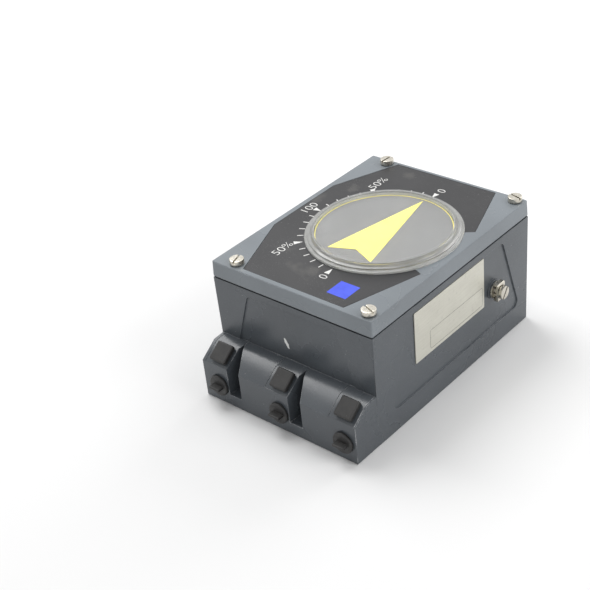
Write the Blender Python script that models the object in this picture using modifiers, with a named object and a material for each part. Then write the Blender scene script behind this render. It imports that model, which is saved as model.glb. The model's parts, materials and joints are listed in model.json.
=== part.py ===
"""Pneumatic valve positioner with a round position window, built at its real size.

Metres, +Z up. The origin is on the spindle's axis in the plane of the mounting base.
+Y is where the arrow points at rest, and the gauge ledge is at -Y.
The spindle turns a snail cam, the cam swings a follower arm, and the arm stretches the
feedback spring of a balance arm that carries the pilot spool and meets the diaphragm's stem.
"""

import math

import bmesh
import bpy
from mathutils import Matrix, Vector

# Facets round a turned piece, by its size
FINE = 40
ROUND = 20
SMALL = 12

# Clearances
SEAT = 0.0003
FILM = 0.0001
RUNNING = 0.00015

# Body casting, measured at its rim. The spindle stands off the middle of the body.
BODY_WIDTH = 0.120
BODY_DEPTH = 0.157
BODY_HEIGHT = 0.075
SPINDLE_RIGHT = 0.0075
SPINDLE_BEHIND = 0.002
WALL = 0.005
FLOOR = 0.006
DRAFT = 0.009
BODY_CORNER = 0.0006

# Shallow panels sunk in the four walls
PANEL_DEPTH = 0.001
PANEL_TOP = 0.0045
PANEL_ABOVE_BASE = 0.015
PANEL_FLARE = 0.33
PANEL_CORNER = 0.004
END_PANEL_MARGIN = 0.0268
SIDE_PANEL_MARGIN = 0.0305
SIDE_PANEL_BEHIND = 0.002

# Ledge in front of the body, with the gauge ports on its slope and the air ports below
LEDGE_HEIGHT = 0.035
LEDGE_SHELF = 0.0076
LEDGE_SHELF_FALL = 0.0004
LEDGE_REACH = 0.0195
LEDGE_SLOPE = math.radians(35.5)
LEDGE_END_GAP = 0.0008
PORT_FROM_END = 0.01175
PORT_RIGHT = 0.0019
GAUGE_PAD_LEFT = 0.0103
GAUGE_PAD_RIGHT = 0.0082
GAUGE_PAD_RISE = 0.0003
NOTCH_RIGHT = 0.0079
NOTCH_FLOOR = 0.008
NOTCH_FROM_WALL = 0.0021
NOTCH_LEAN = 0.034
NOTCH_SPREAD = 0.52
GAUGE_HOLE = 0.0043
GAUGE_HOLE_DEPTH = 0.007
GAUGE_PLUG = 0.0122
GAUGE_PLUG_HEAD = 0.0037
AIR_PORT = 0.0059
AIR_PORT_DEPTH = 0.011
AIR_PORT_HEIGHT = 0.0125
AIR_PLUG = 0.0070
AIR_PLUG_HEAD = 0.0018
AIR_PLUG_CHAMFER = 0.0005
AIR_PLUG_TAPER = 0.0009
AIR_PLUG_TAB = 0.0084
AIR_PLUG_TAB_REACH = 0.0062
AIR_PLUG_TAB_THICKNESS = 0.0018
GAUGE_PLUG_EDGE = 0.0006

# Cover and its screws
SEAM = 0.0008
COVER_HEIGHT = 0.0111
COVER_DRAFT = 0.036
COVER_WALL = 0.0042
COVER_PLATE = 0.003
COVER_EDGE = 0.0004
SCREW_LEFT = 0.0157
SCREW_RIGHT = 0.0063
SCREW_FRONT = 0.0064
SCREW_BACK = 0.0052
SCREW_BOSS = 0.0066
SCREW_CLEARANCE = 0.0004
COVER_SCREW = 0.0025
COVER_SCREW_HEAD = 0.0044
COVER_SCREW_HEAD_HEIGHT = 0.0033
COVER_SCREW_REACH = 0.0165
HOLE_RUNOUT = 0.002
GASKET_FILM = 0.00015
GASKET_INSET = 0.0007
SLOT_ANGLES = {"front_left": 108, "front_right": -21, "back_left": 85, "back_right": -14}

# Scale plate in the cover
PLATE_RECESS = 0.0006
PLATE_THICKNESS = 0.0004
PLATE_FRONT_MARGIN = 0.0040
PLATE_BACK_MARGIN = 0.0028
PLATE_SIDE_MARGIN = 0.0044
PLATE_RIGHT_MARGIN = 0.0063
PLATE_LEFT_TAPER = 0.0187
PLATE_RIGHT_TAPER = 0.0160
PLATE_MIDDLE = 0.0008
PLATE_WINDOW_GAP = 0.0008
PLATE_SHOULDER = 0.0286
PLATE_GAP = 0.0275
PLATE_GAP_ANGLE = math.radians(31)

# Window
WINDOW_FROM_EDGE = 0.0045
WINDOW_LIP = 0.0044
WINDOW_WALL = 0.0012
WINDOW_FLANGE_HEIGHT = 0.0014
WINDOW_STEP = 0.0010
WINDOW_STEP_WIDTH = 0.0026
WINDOW_RISE = 0.0050
WINDOW_TOP = 0.0016
WINDOW_ROUNDING = 0.0007
SPIGOT_BELOW_COVER = 0.0026
CLIP_GROOVE = 0.0005
CLIP_THICKNESS = 0.0010
CLIP_WIDTH = 0.0034
CLIP_OPENING = math.radians(14)
SEAL_WIDTH = 0.0018
SEAL_HEIGHT = 0.0018

# Indicator
DISC_GAP = 0.0007
DISC_THICKNESS = 0.0016
DISC_ABOVE_COVER = 0.0010
ARROW_RISE = 0.0004
ARROW_ROOT = 0.0005
ARROW_TIP_GAP = 0.0019
ARROW_BARB_GAP = 0.0045
ARROW_BARB_ANGLE = math.radians(25.5)
ARROW_NOTCH_GAP = 0.0149
MASK_RIM = 0.0007
HUB_RADIUS = 0.0080
HUB_FLANGE = 0.0140
HUB_FLANGE_THICKNESS = 0.0018
HUB_FLARE = 0.0020
HUB_ROOF = 0.003
HUB_ABOVE_NUT = 0.0012

# Spindle
SPINDLE_RADIUS = 0.0090
SPINDLE_FLAT = 0.0078
DRIVE_RECESS = 0.0116
DRIVE_DEPTH = 0.006
RING_LAND = 0.004
BUSH_WALL = 0.003
BUSH_LENGTH = 0.0174
SPINDLE_BOSS_WALL = 0.0047
COLLAR_HEIGHT = 0.0025
COLLAR_FILLET = 0.002
SPINDLE_NECK = 0.0060
SPINDLE_TIP = 0.0050
CAM_SEAT_WIDTH = 0.001
CAM_SEAT_HEIGHT = 0.003
SPINDLE_CHAMFER = 0.0005
RING_SECTION = 0.0006
RING_GROOVE = 0.0009
BASE_HOLE_CIRCLE = 0.050
BASE_HOLE = 0.0025
BASE_HOLE_DEPTH = 0.0115
BASE_BOSS_WALL = 0.003
BASE_BOSS_ROOF = 0.003

# Cam and follower
CAM_BELOW_RIM = 0.0150
CAM_THICKNESS = 0.003
CAM_TRAVEL = math.radians(90)
CAM_OVERTRAVEL = math.radians(9)
CAM_NEAR = 0.0200
CAM_FAR = 0.0320
CAM_RELIEF = 0.0115
CAM_NUT = 0.0075
CAM_NUT_HEIGHT = 0.0052
CAM_NUT_KNURL = 0.0005
CAM_INDEX_HOLE = 0.0012
FOLLOWER_LENGTH = 0.045
FOLLOWER_HUB = 0.0065
FOLLOWER_THICKNESS = 0.003
FOLLOWER_BELOW_CAM = 0.002
FOLLOWER_WIDTH = 0.0090
FOLLOWER_PIN = 0.0030
FOLLOWER_PIN_HEAD = 0.0015
FOLLOWER_PIN_SEAT = 0.015
FOLLOWER_HUB_LENGTH = 0.018
POST_FLARE = 0.0015
ROLLER_RADIUS = 0.0050
ROLLER_HEIGHT = 0.0050
ROLLER_CHAMFER = 0.0004
ROLLER_PIN = 0.0015
ROLLER_PIN_HEAD = 0.0012
ROLLER_PIN_END = 0.0008

# Feedback spring and its zero adjuster
SPRING_REACH = 0.024
SPRING_BELOW_ARM = 0.011
SPRING_RADIUS = 0.0034
SPRING_END_GAP = 0.0010
SPRING_WIRE = 0.0005
SPRING_TURNS = 9
SPRING_PLUG = 0.0024
SPRING_PLUG_LENGTH = 0.0060
POST_SIZE = 0.0080
ZERO_SCREW = 0.0020
ZERO_SCREW_LENGTH = 0.0180
ZERO_WHEEL = 0.0080
ZERO_WHEEL_WIDTH = 0.0045
ZERO_WHEEL_KNURL = 0.0006
ZERO_WHEEL_GAP = 0.0099
ZERO_WHEEL_TEETH = 16

# Balance arm, with the spool in front of its pivot and the diaphragm's stem behind it
LINK_HEIGHT = 0.024
ARM_FROM_WALL = 0.0145
ARM_PIVOT_Y = -0.006
ARM_THICKNESS = 0.003
ARM_DEPTH = 0.012
ARM_END = 0.004
ARM_HUB = 0.0055
ARM_HUB_RISE = 0.001
ARM_PIN = 0.0025
ARM_PIN_HEAD = 0.0014
ARM_PIN_RIM = 0.0017
ARM_PIN_SEAT = 0.003
ARM_POST_GAP = 0.005
ARM_TAB = 0.0080
ARM_TAB_FLARE = 0.004
ARM_HOLE = 0.0034
ARM_FORK_GAP = 0.0003
ARM_HOLE_SPREAD = 0.009
ARM_HOLE_TO_STEM = 0.014

# Pilot valve
PILOT_FROM_WALL = 0.0315
PILOT_FROM_ARM = 0.0160
PILOT_FROM_FRONT = 0.0205
PILOT_DEPTH = 0.026
PILOT_HEIGHT = 0.030
PILOT_EDGE = 0.0008
PILOT_RELIEF = 0.009
PILOT_RELIEF_DEPTH = 0.0035
PILOT_SCREW_IN = 0.0055
PILOT_SCREW_BACK = 0.0030
PILOT_SCREW = 0.0015
PILOT_SCREW_HEAD = 0.0031
PILOT_SCREW_HEAD_HEIGHT = 0.0024
PILOT_SCREW_GRIP = 0.0024
PILOT_SCREW_SEAT = 0.0030
SLEEVE_RADIUS = 0.0070
SLEEVE_END = 0.002
SLEEVE_PORT = 0.0013
SPOOL_RADIUS = 0.0040
SPOOL_NECK = 0.0026
SPOOL_LAND = 0.005
SPOOL_END = 0.004
SPOOL_RIM = 0.0006
SPOOL_DISC_THICKNESS = 0.0016
SPOOL_LINK = 0.0015
SPOOL_PLAY = 0.0008
PILOT_GASKET = 0.0008
PILOT_GASKET_INSET = 0.0005

# Diaphragm capsule
CAPSULE_FROM_BACK = 0.0265
CAPSULE_FROM_ARM = 0.028
CAPSULE_FLANGE = 0.0170
CAPSULE_FLANGE_THICKNESS = 0.003
CAPSULE_BOWL = 0.0130
CAPSULE_BOWL_DEPTH = 0.008
CAPSULE_CAVITY = 0.0105
CAPSULE_CAVITY_DEPTH = 0.005
CAPSULE_NOSE = 0.0060
CAPSULE_NOSE_LENGTH = 0.006
CAPSULE_ROUNDING = 0.002
CAPSULE_FOOT = 0.009
DIAPHRAGM_THICKNESS = 0.0008
PISTON_PLATE = 0.0055
PISTON_PLATE_THICKNESS = 0.003
STEM_RADIUS = 0.0020
CAPSULE_SCREW = 0.0013
CAPSULE_SCREW_HEAD = 0.0021
CAPSULE_SCREW_HEAD_HEIGHT = 0.0016
CAPSULE_SCREW_GAP = 0.0002

# Plate and earth terminal on the right wall, breather on the left wall
DATA_PLATE_MARGIN = 0.013
DATA_PLATE_HEIGHT = 0.035
DATA_PLATE_THICKNESS = 0.0006
DATA_PLATE_CORNER = 0.0008
DATA_PLATE_TOP = 0.0053
DATA_PLATE_MIDDLE = -0.0051
EARTH_FROM_PANEL_END = 0.008
EARTH_BELOW_RIM = 0.0325
EARTH_BOSS = 0.0065
EARTH_BOSS_RISE = 0.0005
EARTH_WASHER = 0.0056
EARTH_WASHER_THICKNESS = 0.0010
EARTH_CLAMP_LENGTH = 0.0118
EARTH_CLAMP_WIDTH = 0.0076
EARTH_CLAMP_SHEET = 0.0013
EARTH_CLAMP_RISE = 0.0034
EARTH_CLAMP_CORNER = 0.0006
EARTH_SCREW = 0.0024
EARTH_SCREW_HEAD = 0.0043
EARTH_SCREW_HEAD_HEIGHT = 0.0026
EARTH_SCREW_CLEARANCE = 0.0002
BREATHER_ALONG = 0.028
BREATHER_ABOVE_BASE = 0.025
BREATHER_RADIUS = 0.0075
BREATHER_HEAD = 0.0036
BREATHER_KNURL = 0.0006
BREATHER_STEM = 0.0043
BREATHER_INWARD = 0.0015

# Places that follow from the sizes above
MIDDLE_X = -SPINDLE_RIGHT
MIDDLE_Y = -SPINDLE_BEHIND
LEFT = MIDDLE_X - BODY_WIDTH / 2
RIGHT = MIDDLE_X + BODY_WIDTH / 2
FRONT = MIDDLE_Y - BODY_DEPTH / 2
BACK = MIDDLE_Y + BODY_DEPTH / 2
COVER_BOTTOM = BODY_HEIGHT + SEAM
COVER_TOP = BODY_HEIGHT + COVER_HEIGHT
BEYOND = BODY_HEIGHT + COVER_HEIGHT + WINDOW_RISE + HOLE_RUNOUT
WINDOW_FLANGE = RIGHT - WINDOW_FROM_EDGE
WINDOW_SPIGOT = WINDOW_FLANGE - WINDOW_LIP
WINDOW_BORE = WINDOW_SPIGOT + SCREW_CLEARANCE
SEAL_INNER = WINDOW_SPIGOT + 2 * FILM
SEAL_OUTER = SEAL_INNER + SEAL_WIDTH
DISC_RADIUS = WINDOW_SPIGOT - WINDOW_WALL - DISC_GAP
DISC_TOP = COVER_TOP + DISC_ABOVE_COVER
DISC_BOTTOM = DISC_TOP - ARROW_RISE - DISC_THICKNESS
BUSH_SEAT = DRIVE_DEPTH + RING_LAND
BUSH_TOP = BUSH_SEAT + SEAT + BUSH_LENGTH
BUSH_RADIUS = SPINDLE_RADIUS + BUSH_WALL
COLLAR_TOP = BUSH_TOP + SEAT + COLLAR_HEIGHT
CAM_BOTTOM = BODY_HEIGHT - CAM_BELOW_RIM
CAM_TOP = CAM_BOTTOM + CAM_THICKNESS
ARM_PLATE_TOP = CAM_BOTTOM - FOLLOWER_BELOW_CAM
ARM_PLATE_BOTTOM = ARM_PLATE_TOP - FOLLOWER_THICKNESS
FOLLOWER_POST_TOP = ARM_PLATE_TOP - FOLLOWER_HUB_LENGTH
FOLLOWER_PIN_LOW = FOLLOWER_POST_TOP - FOLLOWER_PIN_SEAT
FOLLOWER_X = -(CAM_NEAR + CAM_FAR) / 2
FOLLOWER_Y = FOLLOWER_LENGTH
SPRING_HEIGHT = ARM_PLATE_BOTTOM - SPRING_BELOW_ARM
ARM_X = RIGHT - ARM_FROM_WALL
ARM_LOW = LINK_HEIGHT - ARM_DEPTH / 2
ARM_HIGH = LINK_HEIGHT + ARM_DEPTH / 2
ARM_POST_TOP = ARM_LOW - ARM_POST_GAP
PILOT_LEFT = LEFT + PILOT_FROM_WALL
PILOT_RIGHT = ARM_X - PILOT_FROM_ARM
PILOT_LENGTH = PILOT_RIGHT - PILOT_LEFT
PILOT_Y = FRONT + PILOT_FROM_FRONT
CAPSULE_X = ARM_X - CAPSULE_FROM_ARM
CAPSULE_Y = BACK - CAPSULE_FROM_BACK
END_PANEL = BODY_WIDTH - 2 * END_PANEL_MARGIN
SIDE_PANEL = BODY_DEPTH - 2 * SIDE_PANEL_MARGIN
PANEL_DROP = BODY_HEIGHT - PANEL_ABOVE_BASE
DATA_PLATE_LENGTH = SIDE_PANEL - 2 * DATA_PLATE_MARGIN
LEDGE_FRONT = FRONT - LEDGE_REACH
LEDGE_HALF = BODY_WIDTH / 2 - LEDGE_END_GAP
SHELF_EDGE_Y = FRONT - LEDGE_SHELF
SHELF_EDGE_Z = LEDGE_HEIGHT - LEDGE_SHELF_FALL
PORT_PITCH = BODY_WIDTH / 2 - PORT_FROM_END
PORTS = [MIDDLE_X + PORT_RIGHT + PORT_PITCH * step for step in (-1, 0, 1)]
SCREW_PLACES = {
    "front_left": (LEFT + SCREW_LEFT, FRONT + SCREW_FRONT),
    "front_right": (RIGHT - SCREW_RIGHT, FRONT + SCREW_FRONT),
    "back_left": (LEFT + SCREW_LEFT, BACK - SCREW_BACK),
    "back_right": (RIGHT - SCREW_RIGHT, BACK - SCREW_BACK),
}
UP = Vector((0, 0, 1))
RIGHTWARD = Vector((1, 0, 0))
BACKWARD = Vector((0, 1, 0))

for old in list(bpy.data.objects):
    bpy.data.objects.remove(old)

PARTS = bpy.data.collections.new("valve_positioner")
CUTTERS = bpy.data.collections.new("cutters")
bpy.context.scene.collection.children.link(PARTS)
bpy.context.scene.collection.children.link(CUTTERS)


def finish(name, colour, metallic, roughness):
    """A material with one Principled BSDF."""
    material = bpy.data.materials.new(name)
    material.use_nodes = True
    shader = material.node_tree.nodes["Principled BSDF"]
    shader.inputs["Base Color"].default_value = (*colour, 1)
    shader.inputs["Metallic"].default_value = metallic
    shader.inputs["Roughness"].default_value = roughness
    return material


GREY_PAINT = finish("grey_paint", (0.16, 0.18, 0.20), 0.0, 0.40)
DIE_CAST = finish("die_cast", (0.55, 0.56, 0.57), 0.9, 0.45)
STEEL = finish("steel", (0.60, 0.60, 0.59), 1.0, 0.30)
NICKEL = finish("nickel_plate", (0.72, 0.69, 0.60), 1.0, 0.28)
BRASS = finish("brass", (0.72, 0.53, 0.24), 1.0, 0.30)
BRONZE = finish("bronze", (0.52, 0.36, 0.18), 1.0, 0.40)
RUBBER = finish("rubber", (0.02, 0.02, 0.02), 0.0, 0.80)
BLACK_PLASTIC = finish("black_plastic", (0.02, 0.02, 0.02), 0.0, 0.50)
SCALE_BLACK = finish("scale_black", (0.07, 0.07, 0.075), 0.0, 0.45)
YELLOW = finish("yellow_plastic", (0.95, 0.87, 0.16), 0.0, 0.45)
MASK_GREY = finish("mask_grey", (0.10, 0.10, 0.11), 0.0, 0.35)
CLEAR = finish("clear_plastic", (0.90, 0.91, 0.90), 0.0, 0.08)
PLATE_SILVER = finish("plate_silver", (0.60, 0.60, 0.55), 0.7, 0.40)


def add_object(name, mesh, material=None):
    """A part when it has a material, or else a hidden cutter."""
    thing = bpy.data.objects.new(name, mesh)
    if material:
        mesh.materials.append(material)
        PARTS.objects.link(thing)
    else:
        CUTTERS.objects.link(thing)
        thing.hide_render = True
        thing.display_type = "WIRE"
    return thing


def from_shape(name, shape, material=None):
    mesh = bpy.data.meshes.new(name)
    bmesh.ops.recalc_face_normals(shape, faces=shape.faces)
    shape.to_mesh(mesh)
    shape.free()
    return add_object(name, mesh, material)


def cut(target, *cutters):
    for cutter in cutters:
        step = target.modifiers.new("cut " + cutter.name, "BOOLEAN")
        step.operation = "DIFFERENCE"
        step.object = cutter
    return target


def join(target, *additions):
    for addition in additions:
        step = target.modifiers.new("join " + addition.name, "BOOLEAN")
        step.operation = "UNION"
        step.object = addition
    return target


def block(name, low, high, material=None, bevel=0):
    """A box between two opposite corners, with its edges bevelled if asked."""
    low, high = Vector(low), Vector(high)
    shape = bmesh.new()
    bmesh.ops.create_cube(shape, size=1)
    bmesh.ops.scale(shape, vec=high - low, verts=shape.verts)
    bmesh.ops.translate(shape, vec=(low + high) / 2, verts=shape.verts)
    if bevel:
        bmesh.ops.bevel(shape, geom=shape.edges, offset=bevel, segments=1, affect="EDGES")
    return from_shape(name, shape, material)


def tapered_block(name, low_z, low_half, high_z, high_half, material=None, corner=0, steps=2):
    """A drafted box about the body's middle, with its upright edges rounded."""
    shape = bmesh.new()
    bmesh.ops.create_cube(shape, size=2)
    for point in shape.verts:
        half = high_half if point.co.z > 0 else low_half
        height = high_z if point.co.z > 0 else low_z
        point.co = (MIDDLE_X + point.co.x * half[0], MIDDLE_Y + point.co.y * half[1], height)
    if corner:
        upright = [e for e in shape.edges if abs(e.verts[0].co.z - e.verts[1].co.z) > 1e-5]
        bmesh.ops.bevel(shape, geom=upright, offset=corner, segments=steps, profile=0.5, affect="EDGES")
    return from_shape(name, shape, material)


def rod(name, radius, start, end, material=None, sides=SMALL, tip_radius=None):
    """A cylinder, or a cone with tip_radius, from one point to another."""
    start, end = Vector(start), Vector(end)
    along = end - start
    place = Matrix.Translation((start + end) / 2) @ along.to_track_quat("Z", "Y").to_matrix().to_4x4()
    shape = bmesh.new()
    bmesh.ops.create_cone(
        shape,
        cap_ends=True,
        segments=sides,
        radius1=radius,
        radius2=radius if tip_radius is None else tip_radius,
        depth=along.length,
        matrix=place,
    )
    return from_shape(name, shape, material)


def turned(name, profile, place, material=None, steps=ROUND, ring=False):
    """A profile of (radius, height) points, top to bottom down its outer side, turned about Z."""
    mesh = bpy.data.meshes.new(name)
    edges = [(i, i + 1) for i in range(len(profile) - 1)]
    if ring:
        edges.append((len(profile) - 1, 0))
    mesh.from_pydata([(radius, 0, height) for radius, height in profile], edges, [])
    thing = add_object(name, mesh, material)
    thing.matrix_world = place
    screw = thing.modifiers.new("turn", "SCREW")
    screw.steps = screw.render_steps = steps
    screw.use_merge_vertices = True
    screw.merge_threshold = 0.00001
    screw.use_smooth_shade = False
    return thing


def outline_solid(name, points, low, high, place, material=None, holes=()):
    """A flat outline, with any holes, filled and made thick between two heights."""
    curve = bpy.data.curves.new(name, "CURVE")
    curve.dimensions = "2D"
    curve.fill_mode = "BOTH"
    curve.extrude = (high - low) / 2
    for loop in (points, *holes):
        spline = curve.splines.new("POLY")
        spline.points.add(len(loop) - 1)
        for spot, (u, v) in zip(spline.points, loop):
            spot.co = (u, v, 0, 1)
        spline.use_cyclic_u = True
    guide = bpy.data.objects.new(name, curve)
    CUTTERS.objects.link(guide)
    bpy.context.view_layer.update()
    graph = bpy.context.evaluated_depsgraph_get()
    mesh = bpy.data.meshes.new_from_object(guide.evaluated_get(graph))
    bpy.data.objects.remove(guide)
    shape = bmesh.new()
    shape.from_mesh(mesh)
    bmesh.ops.remove_doubles(shape, verts=shape.verts, dist=0.000001)
    bmesh.ops.translate(shape, vec=(0, 0, (low + high) / 2), verts=shape.verts)
    mesh.materials.clear()
    bmesh.ops.recalc_face_normals(shape, faces=shape.faces)
    shape.to_mesh(mesh)
    shape.free()
    mesh.name = name
    thing = add_object(name, mesh, material)
    thing.matrix_world = place
    return thing


def circle(radius, sides, centre=(0, 0)):
    turns = [2 * math.pi * i / sides for i in range(sides)]
    return [(centre[0] + radius * math.cos(t), centre[1] + radius * math.sin(t)) for t in turns]


def rounded(points, radius, steps=3):
    """The outline with every corner replaced by an arc."""
    smooth_points = []
    for i, here in enumerate(points):
        here = Vector(here)
        to_last = (Vector(points[i - 1]) - here).normalized()
        to_next = (Vector(points[(i + 1) % len(points)]) - here).normalized()
        half = to_last.angle(to_next) / 2
        centre = here + (to_last + to_next).normalized() * radius / math.sin(half)
        first = here + to_last * radius / math.tan(half) - centre
        last = here + to_next * radius / math.tan(half) - centre
        for step in range(steps + 1):
            spoke = first.lerp(last, step / steps).normalized() * radius
            smooth_points.append(tuple(centre + spoke))
    return smooth_points


def frame_at(origin, across, upward):
    """A placing whose X runs across, whose Y runs upward and whose Z is square to both."""
    across, upward = Vector(across).normalized(), Vector(upward).normalized()
    turn = Matrix((across, upward, across.cross(upward))).transposed().to_4x4()
    return Matrix.Translation(Vector(origin)) @ turn


def wall_frame(normal):
    """On a drafted wall: X along it, Y up it and Z out of it, from the middle of its rim."""
    normal = Vector(normal)
    reach = BODY_WIDTH / 2 if normal.x else BODY_DEPTH / 2
    origin = Vector((MIDDLE_X, MIDDLE_Y, BODY_HEIGHT)) + normal * reach
    return frame_at(origin, UP.cross(normal), UP + normal * DRAFT)


def along_x(x, y, z):
    """A placing whose Z runs along world +X."""
    return frame_at((x, y, z), BACKWARD, UP)


def body_half(height, inset=0):
    """Half the body's width and depth at a height, drawn in by the inset."""
    lean = DRAFT * (BODY_HEIGHT - height) + inset
    return BODY_WIDTH / 2 - lean, BODY_DEPTH / 2 - lean


def hang_on(name, place, things):
    """An empty on a joint's axis that carries the moving piece."""
    pivot = bpy.data.objects.new(name, None)
    pivot.location = place
    PARTS.objects.link(pivot)
    for thing in things:
        thing.parent = pivot
        thing.matrix_parent_inverse = Matrix.Translation(-Vector(place))


def follower_lean(turn):
    """The follower arm's angle from -Y at a turn of the spindle, positive towards +X."""
    nearest = math.asin((-FOLLOWER_X - CAM_NEAR) / FOLLOWER_LENGTH)
    farthest = math.asin((-FOLLOWER_X - CAM_FAR) / FOLLOWER_LENGTH)
    return nearest + (farthest - nearest) * turn / CAM_TRAVEL


def follower_point(reach, turn=0):
    """A point on the follower arm's line, this far from its pivot."""
    lean = follower_lean(turn)
    return Vector((FOLLOWER_X + reach * math.sin(lean), FOLLOWER_Y - reach * math.cos(lean)))


SPRING_START = follower_point(SPRING_REACH)
SPRING_END_X = ARM_X - ARM_THICKNESS / 2 - SEAT


def panel_cutter(name, normal, top_width, shift=0):
    """The cutter for one wall's sunk panel, wider towards the base."""
    low = -PANEL_DROP
    spread = PANEL_FLARE * (PANEL_DROP - PANEL_TOP)
    half = top_width / 2
    corners = [
        (shift - half - spread, low),
        (shift + half + spread, low),
        (shift + half, -PANEL_TOP),
        (shift - half, -PANEL_TOP),
    ]
    outline = rounded(corners, PANEL_CORNER)
    return outline_solid(name, outline, -PANEL_DEPTH, PANEL_DEPTH, wall_frame(normal))


def ledge_profile(rise=0):
    """The ledge's section as (Y, Z) points, its top raised by the rise."""
    lift = rise / math.cos(LEDGE_SLOPE)
    drop = (SHELF_EDGE_Y - LEDGE_FRONT) * math.tan(LEDGE_SLOPE)
    return [
        (FRONT + WALL / 2, -HOLE_RUNOUT),
        (FRONT + WALL / 2, LEDGE_HEIGHT + rise),
        (FRONT, LEDGE_HEIGHT + rise),
        (SHELF_EDGE_Y, SHELF_EDGE_Z + rise),
        (LEDGE_FRONT, SHELF_EDGE_Z - drop + lift),
        (LEDGE_FRONT, -HOLE_RUNOUT),
    ]


def ledge_blocks():
    """The ledge, and the slightly raised pad round each gauge port."""
    across = frame_at((0, 0, 0), BACKWARD, UP)
    low_end, high_end = MIDDLE_X - LEDGE_HALF, MIDDLE_X + LEDGE_HALF
    ledge = outline_solid("ledge", ledge_profile(), low_end, high_end, across)
    pads = []
    for number, port in enumerate(PORTS, 1):
        low = max(port - GAUGE_PAD_LEFT, low_end + FILM)
        high = min(port + GAUGE_PAD_RIGHT, high_end - FILM)
        raised = ledge_profile(GAUGE_PAD_RISE)
        pads.append(outline_solid(f"gauge_pad_{number}", raised, low, high, across))
    return [ledge, *pads]


def notch_cutters():
    """The tapering grooves that part the ledge beside the first two gauge ports."""
    cutters = []
    reach = LEDGE_REACH + HOLE_RUNOUT
    for number, port in enumerate(PORTS[:2], 1):
        x = port + NOTCH_RIGHT
        y = FRONT - NOTCH_FROM_WALL
        outline = [(x, y), (x - NOTCH_LEAN * reach, y - reach), (x + NOTCH_SPREAD * reach, y - reach)]
        top = LEDGE_HEIGHT + HOLE_RUNOUT
        cutters.append(outline_solid(f"notch_{number}", outline, NOTCH_FLOOR, top, Matrix()))
    return cutters


def slope_frame(x):
    """On the ledge's slope at a gauge port: X along the ledge, Y up the slope and Z out of it."""
    down = Vector((0, -math.cos(LEDGE_SLOPE), -math.sin(LEDGE_SLOPE)))
    origin = Vector((x, SHELF_EDGE_Y, SHELF_EDGE_Z)) + down * (GAUGE_PLUG / 2 + 2 * FILM)
    return frame_at(origin, RIGHTWARD, -down)


def port_cutters():
    """The gauge holes square to the slope and the air ports in the upright face below."""
    cutters = []
    for number, port in enumerate(PORTS, 1):
        place = slope_frame(port)
        mouth = place @ Vector((0, 0, HOLE_RUNOUT))
        inner = place @ Vector((0, 0, -GAUGE_HOLE_DEPTH))
        cutters.append(rod(f"gauge_hole_{number}", GAUGE_HOLE, inner, mouth))
        mouth = (port, LEDGE_FRONT - HOLE_RUNOUT, AIR_PORT_HEIGHT)
        inner = (port, LEDGE_FRONT + AIR_PORT_DEPTH, AIR_PORT_HEIGHT)
        cutters.append(rod(f"air_hole_{number}", AIR_PORT, inner, mouth, sides=ROUND))
    return cutters


def base_hole_places():
    half = BASE_HOLE_CIRCLE / 2 * math.sqrt(0.5)
    return [(half * x, half * y) for x in (-1, 1) for y in (-1, 1)]


def body_core():
    """The inside of the body, with its bosses and posts left standing."""
    low = body_half(FLOOR, WALL)
    high = body_half(COVER_TOP, WALL)
    core = tapered_block("body_core", FLOOR, low, COVER_TOP, high, corner=BODY_CORNER)
    for name, (x, y) in SCREW_PLACES.items():
        cut(core, rod("boss_" + name, SCREW_BOSS, (x, y, 0), (x, y, BEYOND)))
    spindle_boss = BUSH_RADIUS + SEAT + SPINDLE_BOSS_WALL
    cut(core, rod("spindle_boss", spindle_boss, (0, 0, 0), (0, 0, BUSH_TOP), sides=ROUND))
    boss_top = BASE_HOLE_DEPTH + BASE_BOSS_ROOF
    for number, (x, y) in enumerate(base_hole_places(), 1):
        cut(core, rod(f"base_boss_{number}", BASE_HOLE + BASE_BOSS_WALL, (x, y, 0), (x, y, boss_top)))
    post = (FOLLOWER_X, FOLLOWER_Y)
    foot = FOLLOWER_HUB + POST_FLARE
    cut(core, rod("follower_post", foot, (*post, 0), (*post, FOLLOWER_POST_TOP), tip_radius=FOLLOWER_HUB))
    post = (ARM_X, ARM_PIVOT_Y)
    cut(core, rod("arm_post", ARM_HUB + POST_FLARE, (*post, 0), (*post, ARM_POST_TOP), tip_radius=ARM_HUB))
    return core


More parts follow.
